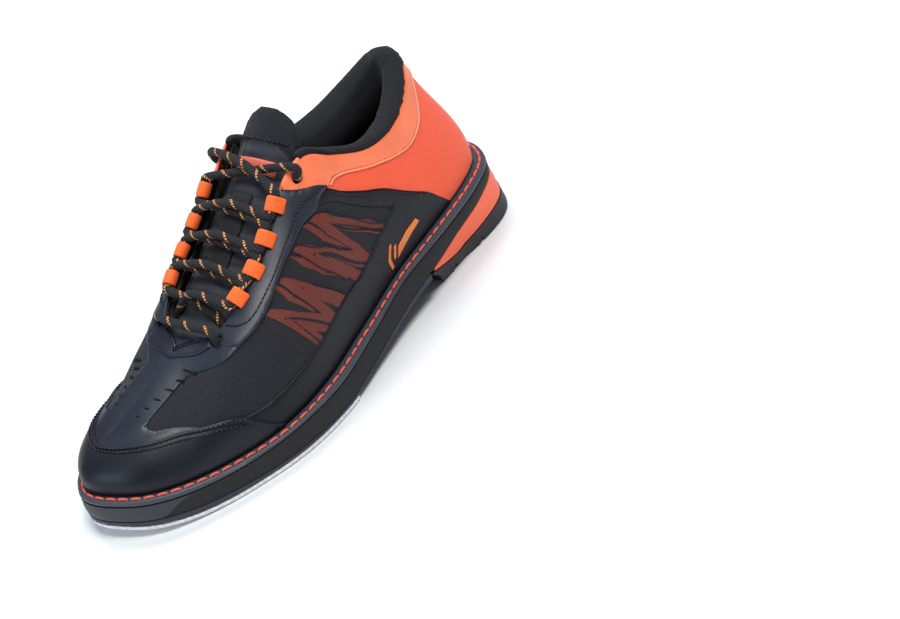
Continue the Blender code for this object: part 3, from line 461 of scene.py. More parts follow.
# ---------------------------------------------------------------- mesh helpers
def piece(name, points, faces, material, uv=None, body="shoe"):
    """a visible piece from points in mm in the drawing's axes"""
    mesh = bpy.data.meshes.new(name)
    P = (np.asarray(points, float) - PLAN_CENTRE) * MM
    mesh.from_pydata(P.tolist(), [], [list(map(int, f)) for f in faces])
    mesh.materials.append(material)
    if uv is not None:
        layer = mesh.uv_layers.new(name="mm")
        loops = np.empty(len(mesh.loops), np.int32)
        mesh.loops.foreach_get("vertex_index", loops)
        layer.data.foreach_set("uv", np.asarray(uv, np.float32)[loops].ravel())
    mesh.shade_smooth()
    mesh.update()
    ob = bpy.data.objects.new(name, mesh)
    bpy.context.scene.collection.objects.link(ob)
    if body:
        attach(ob, body)
    return ob


def thicken(ob, thickness, crisp=False):
    """give a surface its thickness in mm, downwards; crisp keeps its edges sharp"""
    m = ob.modifiers.new("thickness", "SOLIDIFY")
    m.thickness, m.offset = thickness * MM, -1
    if crisp:
        ob.modifiers.new("crisp", "EDGE_SPLIT").split_angle = math.radians(50)
    return ob


TS, VS = 345.0, 78.0  # mm per unit of t and v
T_LOW, T_HIGH, V_HIGH = 0.0008, 0.9992, 0.9995  # paths on the upper stay just inside its own borders


def runs_to_ring(runs, step):
    """closed ring in mm from smooth runs that meet at corners"""
    out = []
    for run in runs:
        P = np.array(run, float) * [TS, VS]
        C = spline(P, 10) if len(P) > 2 else P
        s = arc(C)
        n = max(1, int(round(s[-1] / step)))
        q = np.linspace(0, s[-1], n + 1)[:-1]
        out.append(resample(C, s, q))
    return np.vstack(out)


def within(Q, ring):
    """which points lie inside a closed ring"""
    a, b = ring, np.roll(ring, -1, axis=0)
    x, y = Q[:, :1], Q[:, 1:2]
    cross = (a[:, 1] > y) != (b[:, 1] > y)
    with np.errstate(divide="ignore", invalid="ignore"):
        at = (b[:, 0] - a[:, 0]) * (y - a[:, 1]) / (b[:, 1] - a[:, 1]) + a[:, 0]
    return (cross & (x < at)).sum(1) % 2 == 1


def edge_distance(Q, A, B):
    out = np.full(len(Q), 1e3)
    if not len(A):
        return out
    for k in range(0, len(Q), 2000):
        q = Q[k:k + 2000, None]
        d = B - A
        u = np.clip(((q - A) * d).sum(-1) / np.maximum((d * d).sum(-1), 1e-9), 0, 1)
        out[k:k + 2000] = np.linalg.norm(A + d * u[..., None] - q, axis=-1).min(1)
    return out


def patch(side, runs, holes, step, edge_rings):
    """fine triangles inside the outline, with rows of points at edge_rings' distances from its free edges.
    Gives points, uv, faces and each point's distance from the free edges"""
    rings = [runs_to_ring(runs, step)] + [np.array(h) * [TS, VS] for h in holes]
    A = np.vstack(rings)
    B = np.vstack([np.roll(r, -1, axis=0) for r in rings])
    low, high = np.minimum(A, B) / [TS, VS], np.maximum(A, B) / [TS, VS]
    slack, foot = 0.0005, 0.035  # both in t or v; below foot the edge is hidden in the welt
    at_ridge = (low[:, 1] > 1 - slack) & (low[:, 0] > RIDGE - slack)
    joined_edge = (low[:, 0] > 1 - slack) | (high[:, 0] < slack) | at_ridge | (high[:, 1] < foot)
    FA, FB = A[~joined_edge], B[~joined_edge]
    x = np.arange(A[:, 0].min(), A[:, 0].max(), step)
    y = np.arange(A[:, 1].min(), A[:, 1].max(), step * 0.87)
    X, Y = np.meshgrid(x, y)
    X[1::2] += step / 2
    Q = np.stack([X.ravel(), Y.ravel()], -1)
    in_ring = lambda P: sum(within(P, r).astype(int) for r in rings) % 2 == 1
    Q = Q[in_ring(Q)]
    gap = edge_distance(Q, A, B)
    free = edge_distance(Q, FA, FB)
    last = edge_rings[-1] if edge_rings else 0.0
    Q = Q[(gap > step * 0.45) & (free > last + step * 0.4)]
    extra = []
    if len(FA) and edge_rings:
        mid, d = (FA + FB) / 2, FB - FA
        n = np.stack([-d[:, 1], d[:, 0]], -1) / np.linalg.norm(d, axis=1, keepdims=True)
        inward = np.where(in_ring(mid + n * 0.05)[:, None], n, -n)
        for r in edge_rings:
            P = mid + inward * r
            P = P[in_ring(P)]
            extra.append(P[(edge_distance(P, A, B) > r * 0.93)])
    pts = np.vstack([A, Q] + extra)
    corner = [i for i, p in enumerate(rings[0]) if abs(p[0] - TS) < 1e-6 and abs(p[1] - VS) < 1e-6]
    for i in corner:
        a, b = rings[0][i - 1], rings[0][(i + 1) % len(rings[0])]
        pts = np.vstack([pts, rings[0][i] + 0.75 * ((a - rings[0][i]) + (b - rings[0][i]))])
    edges, k = [], 0
    for r in rings:
        edges += [(k + i, k + (i + 1) % len(r)) for i in range(len(r))]
        k += len(r)
    vo, _, fo, *_ = delaunay_2d_cdt([Vector(p) for p in pts], edges, [], 0, 1e-6)
    vo = np.array([(p[0], p[1]) for p in vo])
    F = np.array([list(f) for f in fo])
    a, b, c = vo[F[:, 0]], vo[F[:, 1]], vo[F[:, 2]]
    area = (b[:, 0] - a[:, 0]) * (c[:, 1] - a[:, 1]) - (b[:, 1] - a[:, 1]) * (c[:, 0] - a[:, 0])
    F = np.where((area < 0)[:, None], F[:, ::-1], F)
    F = F[in_ring((a + b + c) / 3) & (abs(area) > 1e-7)]
    if side > 0:
        F = F[:, ::-1]
    used = np.unique(F)
    index = np.full(len(vo), -1)
    index[used] = np.arange(len(used))
    vo, F = vo[used], index[F]
    return upper(vo[:, 0] / TS, vo[:, 1] / VS, side), vo, F, edge_distance(vo, FA, FB)


def panel(name, pieces, top, thickness, material, step=2.6, roll=0.9, drop=0.55, groove=None):
    """a layer of the upper from pieces of (side, runs, holes). Its outer face lies top mm above the base
    surface and falls by drop over the last roll mm before a free edge. A groove is a sewn line's
    distance from that edge and its depth"""
    rings = [0.3, 0.9] if roll else []
    if groove:
        rings += [groove[0] - 0.6, groove[0], groove[0] + 0.6]
    P, UV, F, D = [], [], [], []
    for side, runs, *holes in pieces:
        p, uv, f, d = patch(side, runs, holes, step, rings)
        F.append(f + sum(len(q) for q in P))
        P.append(p)
        UV.append(uv)
        D.append(d)
    P, UV, F, D = np.vstack(P), np.vstack(UV), np.vstack(F), np.concatenate(D)
    weld = 0.01  # points nearer than this are one
    cells = np.round(P / weld).astype(int)
    _, first, inverse = np.unique(cells, axis=0, return_index=True, return_inverse=True)
    inverse = inverse.ravel()
    P, UV, D, F = P[first], UV[first], D[first], inverse[F]
    F = F[(F[:, 0] != F[:, 1]) & (F[:, 1] != F[:, 2]) & (F[:, 2] != F[:, 0])]
    n = np.zeros_like(P)
    c = np.cross(P[F[:, 1]] - P[F[:, 0]], P[F[:, 2]] - P[F[:, 0]])
    for k in range(3):
        np.add.at(n, F[:, k], c)
    n /= np.maximum(np.linalg.norm(n, axis=1, keepdims=True), 1e-12)
    depth = np.full(len(P), float(top))
    if roll:
        x = np.clip(D / roll, 0, 1)
        depth -= drop * (1 - np.sqrt(np.maximum(1 - (1 - x) ** 2, 0)))
    if groove:
        half_width = 0.45
        depth -= groove[1] * np.exp(-((D - groove[0]) / half_width) ** 2)
    return thicken(piece(name, P + n * depth[:, None], F, material, UV), thickness, not roll)


def tube(path, radius, sides=8, radii=None):
    """points, faces, uv of a round tube with closed ends: u once round, v mm along"""
    path = np.asarray(path, float)
    m = len(path)
    tangent = np.gradient(path, axis=0)
    tangent /= np.linalg.norm(tangent, axis=1, keepdims=True)
    up = np.array([0, 0, 1.0]) if abs(tangent[0][2]) < 0.9 else np.array([1.0, 0, 0])
    a = np.cross(tangent[0], up)
    frames = []
    for k in range(m):
        a = a - tangent[k] * (a @ tangent[k])
        a /= np.linalg.norm(a)
        frames.append((a.copy(), np.cross(tangent[k], a)))
    q = np.linspace(0, 2 * math.pi, sides, endpoint=False)
    r = np.full(m, radius) if radii is None else np.asarray(radii)
    cos, sin = np.cos(q)[:, None], np.sin(q)[:, None]
    P = np.vstack([centre + size * (cos * x + sin * y) for centre, size, (x, y) in zip(path, r, frames)])
    F = []
    for k in range(m - 1):
        here, ahead = k * sides, (k + 1) * sides
        for i in range(sides):
            j = (i + 1) % sides
            F.append([here + i, here + j, ahead + j, ahead + i])
    F.append(list(range(sides))[::-1])
    F.append([(m - 1) * sides + i for i in range(sides)])
    s = arc(path)
    uv = np.array([(i / sides, s[k]) for k in range(m) for i in range(sides)])
    return P, F, uv


def joined(parts):
    """one mesh from several (points, faces, uv)"""
    P, F, UV, base = [], [], [], 0
    for p, f, uv in parts:
        P.append(p)
        UV.append(uv)
        F += [[i + base for i in g] for g in f]
        base += len(p)
    return np.vstack(P), F, np.vstack(UV)


def surface_path(points, off, step=1.0):
    """dense path on the upper through (side, t, v) points, with its normals"""
    A = np.array([(s, t * TS, v * VS) for s, t, v in points], float)
    C = spline(A[:, 1:], 12) if len(A) > 2 else A[:, 1:]
    sides = np.interp(np.linspace(0, len(A) - 1, len(C)), np.arange(len(A)), A[:, 0])
    sides = np.where(sides >= 0, 1, -1)
    T, V = np.clip(C[:, 0] / TS, T_LOW, T_HIGH), np.minimum(C[:, 1] / VS, V_HIGH)
    P, N = np.empty((len(T), 3)), np.empty((len(T), 3))
    for side in (1, -1):
        k = sides == side
        if k.any():
            N[k] = upper_normal(T[k], V[k], side)
            P[k] = upper(T[k], V[k], side) + N[k] * off
    s = arc(P)
    q = np.arange(0, s[-1], step)
    return resample(P, s, q), resample(N, s, q)


STITCH = [(-0.06, -0.8, 0.6), (0.1, 0.35, 0.95), (0.35, 0.7, 1), (0.65, 0.7, 1), (0.9, 0.35, 0.95),
          (1.06, -0.8, 0.6)]


def stitches(path, normals, pitch, length, radius, sides=6):
    """sewn stitches along a dense path: each one rises out of the skin and dips back in.
    STITCH holds the share of its length, and height and thickness as shares of the radius"""
    s = arc(path)
    at = lambda q, C: np.array([np.interp(q, s, C[:, k]) for k in range(3)])
    radii = [radius * size for _, _, size in STITCH]
    parts = []
    count = int((s[-1] - length * 0.5) / pitch)
    for i in range(count):
        q0 = (i + 0.25) * pitch
        line = []
        for share, h, _ in STITCH:
            q = q0 + share * length
            n = at(q, normals)
            line.append(at(q, path) + n / np.linalg.norm(n) * h * radius)
        parts.append(tube(line, radius, sides, radii=radii))
    return joined(parts)


# ---------------------------------------------------------------- sole unit
SIDES = {1: "lateral", -1: "medial"}
# x of the heel's front, the toe bumper's rear and the pad's rear corners
BREAST, BUMPER, PAD_REAR = -60.0, 131.0, 21.0
PAD_POINT = [(8, -30), (-3, -16), (-8, 2), (0, 24)]  # rounded rear of the slide pad, pointing at the heel
HEEL_FLARE = 7.5  # how far the heel's foot sits inside the welt's edge
GAP = 0.3  # between the heel's foot and its wedge, and over the wedge
BAND_FRONT = BUMPER + 9  # the band runs on under the bumper


def at_x(x, side):
    """station t where the outline passes x on one side"""
    C, q = EDGE[side], EARC[side] / EARC[side][-1]
    k = np.argmax(C[:, 0])
    return float(np.interp(x, C[:k, 0], q[:k]))


def ring(inset, z, x0=None, x1=None, n=110, rear=()):
    """closed loop round the sole, between x0 and x1 if given; rear points close its back end"""
    pts = []
    for side in (1, -1):
        t0 = 0.0 if x0 is None else at_x(x0, side)
        t1 = 1.0 if x1 is None else at_x(x1, side)
        tt = np.linspace(t0, t1, n)
        if side < 0:
            tt = tt[::-1]
            tt = tt[1:] if x1 is None else tt
            tt = tt[:-1] if x0 is None else tt
        o = outline(tt, side)
        d = inset(o[:, 0]) if callable(inset) else np.full(len(o), float(inset))
        pts.append(o - plan_normal(tt, side) * d[:, None])
    P = np.vstack(pts)
    if len(rear):
        back = spline([P[-1]] + [np.array(p, float) for p in rear] + [P[0]], 8)[1:-1]
        P = np.vstack([P, back])
    return np.c_[P, z(P[:, 0]) if callable(z) else np.full(len(P), float(z))]


def fill(loop, flip):
    """triangles inside a plan loop, facing up, or down with flip"""
    n = len(loop)
    pts = [Vector((p[0], p[1])) for p in loop]
    _, _, fo, orig, *_ = delaunay_2d_cdt(pts, [(i, (i + 1) % n) for i in range(n)], [], 1, 1e-6)
    F = []
    for f in fo:
        g = [orig[i][0] for i in f]
        a, b, c = (pts[k] for k in g)
        F.append(g if ((b - a).cross(c - a) > 0) != flip else g[::-1])
    return F


def band(name, loops, material, closed=False, ends=True, body="shoe"):
    """walls through closed loops, lowest first; closed joins the last to the first, ends fills both"""
    n, m = len(loops[0]), len(loops)
    F = []
    for k in range(m if closed else m - 1):
        l = (k + 1) % m
        F += [[k * n + i, k * n + (i + 1) % n, l * n + (i + 1) % n, l * n + i] for i in range(n)]
    if ends and not closed:
        F += fill(loops[0], True) + [[i + (m - 1) * n for i in f] for f in fill(loops[-1], False)]
    P = np.vstack(loops)
    around = arc(np.vstack([loops[0], loops[0][:1]]))[:n]
    uv = np.stack([np.tile(around, m), P[:, 2]], -1)
    ob = piece(name, P, F, material, uv, body)
    ob.data.set_sharp_from_angle(angle=math.radians(38))
    return ob


def notch(x):
    """height of the two small cuts in the heel's lower edge"""
    return 2.6 * (np.exp(-((x + 108) / 1.6) ** 4) + np.exp(-((x + 84) / 1.6) ** 4))


def heel_loop(front, z, more=0.0):
    """loop round the heel with its front at x = front; more insets it further"""
    height = z if callable(z) else (lambda x: np.full(len(x), float(z)))
    rear = lambda x: 1 - 1.5 * np.clip((-95 - x) / 50, 0, 1)  # the heel kicks out backwards
    return ring(lambda x: HEEL_FLARE * rear(x) * np.clip(1 - height(x) / band_low(x), 0, 1) + more, height,
                None, front)


def up(fn, h):
    return lambda x: fn(x) + h


# each profile lists (inset from the welt's edge, edge curve, height over it), lowest first
PAD_PROFILE = [(1.0, 0.0), (0.5, 0.12), (0.2, 0.5), (0.2, 1.6), (0.45, 1.95), (1.0, 2.05)]
RIM_PROFILE = [(2.0, rim_low, 0.0), (1.2, rim_low, 0.1), (0.5, rim_low, 0.5), (0.25, rim_low, 1.1),
               (0.25, band_low, -0.9), (0.45, band_low, -0.4), (1.2, band_low, -0.15)]
BAND_PROFILE = [(2.0, band_low, 0.0), (0.6, band_low, 0.05), (0.35, band_low, 0.5), (0.35, band_top, -0.5),
                (0.6, band_top, -0.05), (2.0, band_top, 0.0)]
pad = band("slide_pad_face", [ring(d, up(pad_low, h), PAD_REAR, None, rear=PAD_POINT) for d,
                              h in PAD_PROFILE],
           PAD_WHITE)
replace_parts(pad, "slide_pad")
rim = band("outsole_rim", [ring(d, up(edge, h), BREAST) for d, edge, h in RIM_PROFILE], RIM)
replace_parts(rim, "outsole")
mid = band("midsole_band", [ring(d, up(edge, h), None, BAND_FRONT) for d, edge, h in BAND_PROFILE], BAND)
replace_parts(mid, "midsole")


def half_way(x):
    return (band_low(x) + band_top(x)) / 2


# the bumper's rear edge slants backwards as it rises: the last number is its x from BUMPER
BUMPER_PROFILE = [(1.5, band_low, 0.0, 5), (0.25, band_low, 0.4, 5), (-0.1, half_way, -2.5, 2),
                  (-0.2, half_way, 0.0, -1), (0.1, half_way, 2.5, -5), (0.3, band_top, -0.3, -9),
                  (1.5, band_top, 0.0, -9)]
bumper = band("toe_bumper_shape",
              [ring(d, up(edge, h), BUMPER + x, None, 30) for d, edge, h, x in BUMPER_PROFILE], RIM)
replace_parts(bumper, "toe_bumper")
FOOT_FRONT, WEDGE_FRONT = -61.5, -64.5  # x at their upper front edges
foot = band("heel_foot", [heel_loop(-78, 0.0, 5.5), heel_loop(-75.5, 0.05, 1.6), heel_loop(-74, notch, 0.9),
                          heel_loop(-73, lambda x: 0.9 + notch(x)),
                          heel_loop(-70, lambda x: heel_top(x) * 0.45 + notch(x) * 0.4 + 0.9),
                          heel_loop(-65, lambda x: heel_top(x) * 0.75 + 0.9),
                          heel_loop(FOOT_FRONT, up(heel_top, -0.5)),
                          heel_loop(FOOT_FRONT, up(heel_top, -GAP), 0.8)], HEEL_BLACK)
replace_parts(foot, "heel_outsole")
wedge_top = lambda x: np.maximum(band_low(x) - GAP, heel_top(x) + 0.7)
WEDGE_PROFILE = [(heel_top, 0.9), (up(heel_top, 0.25), 0.4),
                 (lambda x: (heel_top(x) + wedge_top(x)) / 2, 0.15),
                 (lambda x: np.maximum(wedge_top(x) - 0.3, heel_top(x) + 0.4), 0.4), (wedge_top, 0.9)]
wedge = band("heel_wedge_shape", [heel_loop(WEDGE_FRONT, height, more) for height, more in WEDGE_PROFILE],
             WEDGE)
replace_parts(wedge, "heel_wedge")
# grey rib over the band: a rounded bead, a groove, then the stitched shelf that the upper stands on
# (inset, height, 0 over the band's top or 1 over the welt's)
RIB_PROFILE = [(2.0, 0.3, 0), (0.9, 0.35, 0), (0.35, 0.9, 0), (0.2, 1.5, 0), (0.45, -1.1, 1),
               (0.8, -0.55, 1), (1.3, -0.15, 1), (2.0, 0.0, 1), (2.6, -0.25, 1), (3.2, -0.35, 1),
               (3.8, -0.25, 1), (4.6, 0.0, 1), (9.3, 0.0, 1), (9.3, 0.3, 0)]
welt = band("welt_rib", [ring(d, up(welt_z if high else band_top, h)) for d, h, high in RIB_PROFILE], RIB,
            closed=True)
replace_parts(welt, "welt")
WELT_SEAM, WELT_PITCH, WELT_STITCH, WELT_THREAD = 3.2, 6.75, 5.2, 0.66  # inset, pitch, length, thread radius
loop = ring(WELT_SEAM, up(welt_z, -0.25), n=260)
loop = np.vstack([loop, loop[:1]])
sewn = resample(loop, arc(loop), np.arange(0, arc(loop)[-1], 1.0))
P, F, UV = stitches(sewn, np.tile([0, 0, 1.0], (len(sewn), 1)), WELT_PITCH, WELT_STITCH, WELT_THREAD, 8)
thread = piece("welt_stitches", P, F, THREAD_ORANGE, UV)
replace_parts(thread, "welt_stitch")

# ---------------------------------------------------------------- upper
# outlines are runs of (t, v) points that meet at corners: two points make a straight run, more a smooth curve
TOP_HOLE, LOW_HOLE = (0.516, 0.905), (0.782, 0.895)


def hole(t, v, a, b, n=22):
    """ellipse of n points round (t, v)"""
    turns = np.linspace(0, 2 * math.pi, n, endpoint=False)
    return [(t + a * math.cos(q), v + b * math.sin(q)) for q in turns]


TOP_EYE, LOW_EYE = hole(*TOP_HOLE, 0.0085, 0.038), hole(*LOW_HOLE, 0.0085, 0.042)
SLITS = {1: [(0.837, 0.79, 0.817, 0.715), (0.853, 0.765, 0.835, 0.70), (0.873, 0.775, 0.855, 0.695),
             (0.895, 0.79, 0.880, 0.715),
             (0.913, 0.785, 0.901, 0.73), (0.931, 0.785, 0.919, 0.73)],
         -1: [(0.822, 0.66, 0.803, 0.585), (0.840, 0.665, 0.823, 0.595), (0.860, 0.675, 0.844, 0.605),
              (0.880, 0.69, 0.867, 0.63),
              (0.898, 0.70, 0.887, 0.655), (0.915, 0.715, 0.905, 0.675)]}
WINDOW_FRONT = [(0.735, 0.712), (0.77, 0.712), (0.812, 0.727), (0.85, 0.705), (0.885, 0.66), (0.900, 0.612),
                (0.885, 0.53), (0.85, 0.46), (0.80, 0.365), (0.755, 0.292)]
VAMP = [[(1.0, 0.50), (1.0, 1.0)],
        [(1.0, 1.0), (0.842, 1.0)],
        [(0.842, 1.0), (0.815, 0.985), (0.785, 0.94)],
        [(0.785, 0.94), (0.76, 0.86), (0.735, 0.712)],
        WINDOW_FRONT,
        [(0.755, 0.292), (0.748, 0.20)],
        [(0.748, 0.20), (0.80, 0.17), (0.84, 0.20), (0.906, 0.33), (0.96, 0.42), (1.0, 0.50)]]
SIDE = [[(0.738, 0.02), (0.738, 0.20), (0.752, 0.290)],
        [(0.752, 0.290), (0.705, 0.256), (0.657, 0.241), (0.569, 0.232), (0.50, 0.248), (0.445, 0.278),
         (0.405, 0.335), (0.375, 0.40), (0.345, 0.470), (0.347, 0.503), (0.397, 0.590), (0.449, 0.660),
         (0.485, 0.680), (0.520, 0.690)],
        [(0.520, 0.690), (0.515, 0.765)],
        [(0.515, 0.765), (0.472, 0.742), (0.405, 0.697), (0.353, 0.640), (0.30, 0.50), (0.245, 0.315),
         (0.215, 0.15), (0.194, 0.02)],
        [(0.194, 0.02), (0.738, 0.02)]]
MESH = [[(0.262, 0.02), (0.95, 0.02)],
        [(0.95, 0.02), (0.955, 0.60)],
        [(0.955, 0.60), (0.905, 0.86), (0.845, 0.93), (0.81, 0.985)],
        [(0.81, 0.985), (0.556, 0.985)],
        [(0.556, 0.985), (0.545, 0.89), (0.512, 0.80), (0.462, 0.73)],
        [(0.462, 0.73), (0.353, 0.56), (0.285, 0.30), (0.262, 0.02)]]
EYESTAY = [[(0.548, 0.985), (0.792, 0.985)],
           [(0.792, 0.985), (0.796, 0.93), (0.797, 0.88)],
           [(0.797, 0.88), (0.782, 0.868), (0.764, 0.789), (0.743, 0.716)],
           [(0.743, 0.716), (0.715, 0.70), (0.683, 0.705), (0.660, 0.722), (0.643, 0.742), (0.62, 0.757),
            (0.597, 0.752), (0.56, 0.727), (0.53, 0.702), (0.509, 0.682)],
           [(0.509, 0.682), (0.494, 0.722), (0.472, 0.748)],
           [(0.472, 0.748), (0.50, 0.790), (0.521, 0.838), (0.536, 0.90), (0.548, 0.985)]]
HEEL = [[(0, 0.02), (0.254, 0.02)],
        [(0.254, 0.02), (0.277, 0.30), (0.345, 0.57), (0.453, 0.70), (0.503, 0.77), (0.536, 0.87),
         (0.548, 0.985)],
        [(0.548, 0.985), (0.495, 0.985)],
        [(0.495, 0.985), (0.480, 0.955), (0.30, 0.955), (0, 0.955)],
        [(0, 0.955), (0, 0.02)]]
PALE_LINE = [(0.468, 0.755), (0.452, 0.805), (0.42, 0.829), (0.355, 0.820), (0.300, 0.772), (0.248, 0.722),
             (0.195, 0.724), (0.160, 0.775), (0.130, 0.825), (0.10, 0.855), (0.05, 0.867), (0.0, 0.868)]
COLLAR = [[(0.550, 0.985), (0.50, 0.985)],
          [(0.50, 0.985), (0.480, 0.958), (0.30, 0.958), (0, 0.958)],
          [(0, 0.958), (0, 0.868)],
          PALE_LINE[::-1],
          [(0.468, 0.755), (0.478, 0.742)],
          [(0.478, 0.742), (0.505, 0.785), (0.525, 0.84), (0.540, 0.90), (0.550, 0.985)]]
TAB = [[(0, 0.87), (0.03, 0.878), (0.052, 0.91), (0.060, 0.958)],
       [(0.060, 0.958), (0, 0.958)],
       [(0, 0.958), (0, 0.87)]]
CAP_EDGE = [(1.0, 0.655), (0.965, 0.595), (0.93, 0.525), (0.90, 0.472), (0.8655, 0.428), (0.817, 0.385),
            (0.768, 0.342), (0.728, 0.268)]
CAP = [[(0.664, 0.02), (1.0, 0.02)],
       [(1.0, 0.02), (1.0, 0.655)],
       CAP_EDGE,
       [(0.728, 0.268), (0.706, 0.19), (0.684, 0.10), (0.664, 0.02)]]
MOON = {1: [[(0.862, 1.0), (0.852, 0.95), (0.834, 0.88), (0.814, 0.85), (0.795, 0.87)],
            [(0.795, 0.87), (0.790, 0.93), (0.789, 0.985)],
            [(0.789, 0.985), (0.815, 0.985), (0.842, 1.0)], [(0.842, 1.0), (0.862, 1.0)]],
        -1: [[(0.862, 1.0), (0.848, 0.90), (0.825, 0.80), (0.80, 0.73)],
             [(0.80, 0.73), (0.789, 0.84), (0.789, 0.985)],
             [(0.789, 0.985), (0.815, 0.985), (0.842, 1.0)], [(0.842, 1.0), (0.862, 1.0)]]}

vamp = panel("vamp_skin", [(s, VAMP, LOW_EYE) for s in SIDES], -0.75, 0.8, SKIN_BLACK)
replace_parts(vamp, "vamp")
SLIT_RADIUS, SLIT_DEPTH = 0.78, -1.02  # dark slots whose tops show just above the skin
parts = []
for side, marks in SLITS.items():
    for t0, v0, t1, v1 in marks:
        path = on(np.linspace(t0, t1, 9), np.linspace(v0, v1, 9), SLIT_DEPTH, side)
        swell = np.sin(np.linspace(0.25, math.pi - 0.25, 9)) ** 0.5
        parts.append(tube(path, SLIT_RADIUS, 8, SLIT_RADIUS * swell))
piece("vamp_slits", *joined(parts)[:2], SLOT)
heel = panel("heel_cloth_panel", [(s, HEEL, TOP_EYE) for s in SIDES], -1.5, 0.7, CORAL, roll=0)
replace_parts(heel, "heel_panel")
tab = panel("heel_tab_patch", [(s, TAB) for s in SIDES], 0.15, 0.9, COLLAR_MESH)
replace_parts(tab, "heel_tab")
cap = panel("toe_cap_skin", [(s, CAP) for s in SIDES], 0.05, 0.9, SKIN_CAP_PAINTED_SHADE, groove=(2.4, 0.3))
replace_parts(cap, "toe_cap")
moon = panel("throat_overlay_skin", [(s, MOON[s]) for s in SIDES], 0.15, 0.85, SKIN_BLACK, step=1.8)
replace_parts(moon, "throat_overlay")
collar_skin = panel("collar_overlay_skin", [(s, COLLAR, TOP_EYE) for s in SIDES], -0.75, 0.75, SKIN_ORANGE)
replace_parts(collar_skin, "collar_overlay_lateral", "collar_overlay_medial")
for side, tag in SIDES.items():
    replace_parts(panel("side_skin_" + tag, [(side, SIDE)], -0.75, 0.8, SKIN_SIDE_PAINTED_SHADE), "side_overlay_" + tag)
    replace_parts(panel("window_mesh_" + tag, [(side, MESH, LOW_EYE)], -1.55, 0.6, WINDOW, roll=0),
                "mesh_panel_" + tag)
    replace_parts(panel("eyestay_skin_" + tag, [(side, EYESTAY, LOW_EYE)], -0.2, 0.75, SKIN_STAY_PAINTED_HIGHLIGHT),
                "eyestay_" + tag)

# printed zigzag in the mesh window, with sewn outlines
ZIGZAG = [
    [(0.524, 0.68), (0.505, 0.67), (0.478, 0.61), (0.441, 0.58), (0.399, 0.52), (0.368, 0.44), (0.356, 0.39),
     (0.408, 0.49), (0.484, 0.58), (0.432, 0.44), (0.402, 0.32), (0.415, 0.31), (0.526, 0.54), (0.462, 0.32),
     (0.469, 0.32), (0.501, 0.39), (0.529, 0.49), (0.559, 0.61), (0.578, 0.72), (0.569, 0.71), (0.519, 0.55),
     (0.479, 0.46), (0.443, 0.42), (0.495, 0.55)],
    [(0.542, 0.71), (0.528, 0.68), (0.495, 0.54), (0.452, 0.44), (0.478, 0.47), (0.508, 0.55)],
    [(0.476, 0.56), (0.405, 0.47), (0.356, 0.36), (0.363, 0.36), (0.405, 0.46)],
    [(0.488, 0.44), (0.413, 0.29), (0.412, 0.27)],
    [(0.524, 0.52), (0.451, 0.35), (0.426, 0.27), (0.442, 0.25)],
    [(0.591, 0.74), (0.511, 0.42), (0.469, 0.31), (0.522, 0.44), (0.564, 0.59)],
    [(0.628, 0.73), (0.624, 0.74), (0.614, 0.71), (0.544, 0.44), (0.469, 0.23), (0.489, 0.21), (0.539, 0.37),
     (0.506, 0.22), (0.522, 0.22), (0.627, 0.54), (0.565, 0.24), (0.568, 0.23), (0.674, 0.7), (0.662, 0.7),
     (0.599, 0.48), (0.541, 0.31), (0.602, 0.58)],
    [(0.642, 0.75), (0.634, 0.74), (0.604, 0.57), (0.562, 0.39), (0.561, 0.37), (0.617, 0.59)],
    [(0.618, 0.5), (0.521, 0.2), (0.536, 0.21), (0.567, 0.3), (0.545, 0.2), (0.555, 0.21)]]
SEWN = [
    [(0.528, 0.69), (0.443, 0.43)],
    [(0.508, 0.67), (0.445, 0.59), (0.363, 0.43)],
    [(0.484, 0.58), (0.426, 0.52), (0.356, 0.37)],
    [(0.486, 0.59), (0.393, 0.29)],
    [(0.568, 0.71), (0.519, 0.55), (0.441, 0.42)],
    [(0.582, 0.73), (0.529, 0.49), (0.468, 0.31)],
    [(0.535, 0.56), (0.411, 0.29)],
    [(0.536, 0.56), (0.443, 0.24)],
    [(0.631, 0.73), (0.541, 0.31)],
    [(0.618, 0.73), (0.561, 0.51), (0.466, 0.23)],
    [(0.582, 0.55), (0.499, 0.21)],
    [(0.667, 0.72), (0.549, 0.33)],
    [(0.635, 0.57), (0.521, 0.21)],
    [(0.635, 0.56), (0.561, 0.21)],
    [(0.674, 0.69), (0.571, 0.24)]]


def straight_runs(polygons):
    """each closed polygon as runs of two points"""
    return [[[a, b] for a, b in zip(poly, poly[1:] + poly[:1])] for poly in polygons]


for side, tag in SIDES.items():
    film = panel("zigzag_print_" + tag, [(side, r) for r in straight_runs(ZIGZAG)], -1.38, 0.2, PRINT,
                 step=2.2, roll=0)
    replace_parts(film, "zigzag_film_" + tag)
    parts = []
    for line in SEWN:
        path, normals = surface_path([(side, t, v) for t, v in line], -1.45, 0.7)
        parts.append(stitches(path, normals, 2.0, 1.5, 0.42, 5))
    piece("zigzag_stitches_" + tag, *joined(parts)[:2], THREAD)


def outward(ob):
    """turn a closed mesh's faces outwards"""
    bm = bmesh.new()
    bm.from_mesh(ob.data)
    bmesh.ops.recalc_face_normals(bm, faces=bm.faces)
    bm.to_mesh(ob.data)
    bm.free()
    return ob


# sewn lines on the skins
def sew(name, points, off, pitch=2.5, length=1.85, radius=0.5, material=None):
    path, normals = surface_path(points, off, 0.7)
    P, F, UV = stitches(path, normals, pitch, length, radius, 5)
    return piece(name, P, F, material or THREAD, UV)


def cap_line(below):
    """path round the toe cap's edge, below it by a step in v"""
    half = [(t, v - below) for t, v in CAP_EDGE[::-1]]
    half[-1] = (T_HIGH, half[-1][1])
    return [(1, t, v) for t, v in half] + [(-1, t, v) for t, v in half[::-1]]


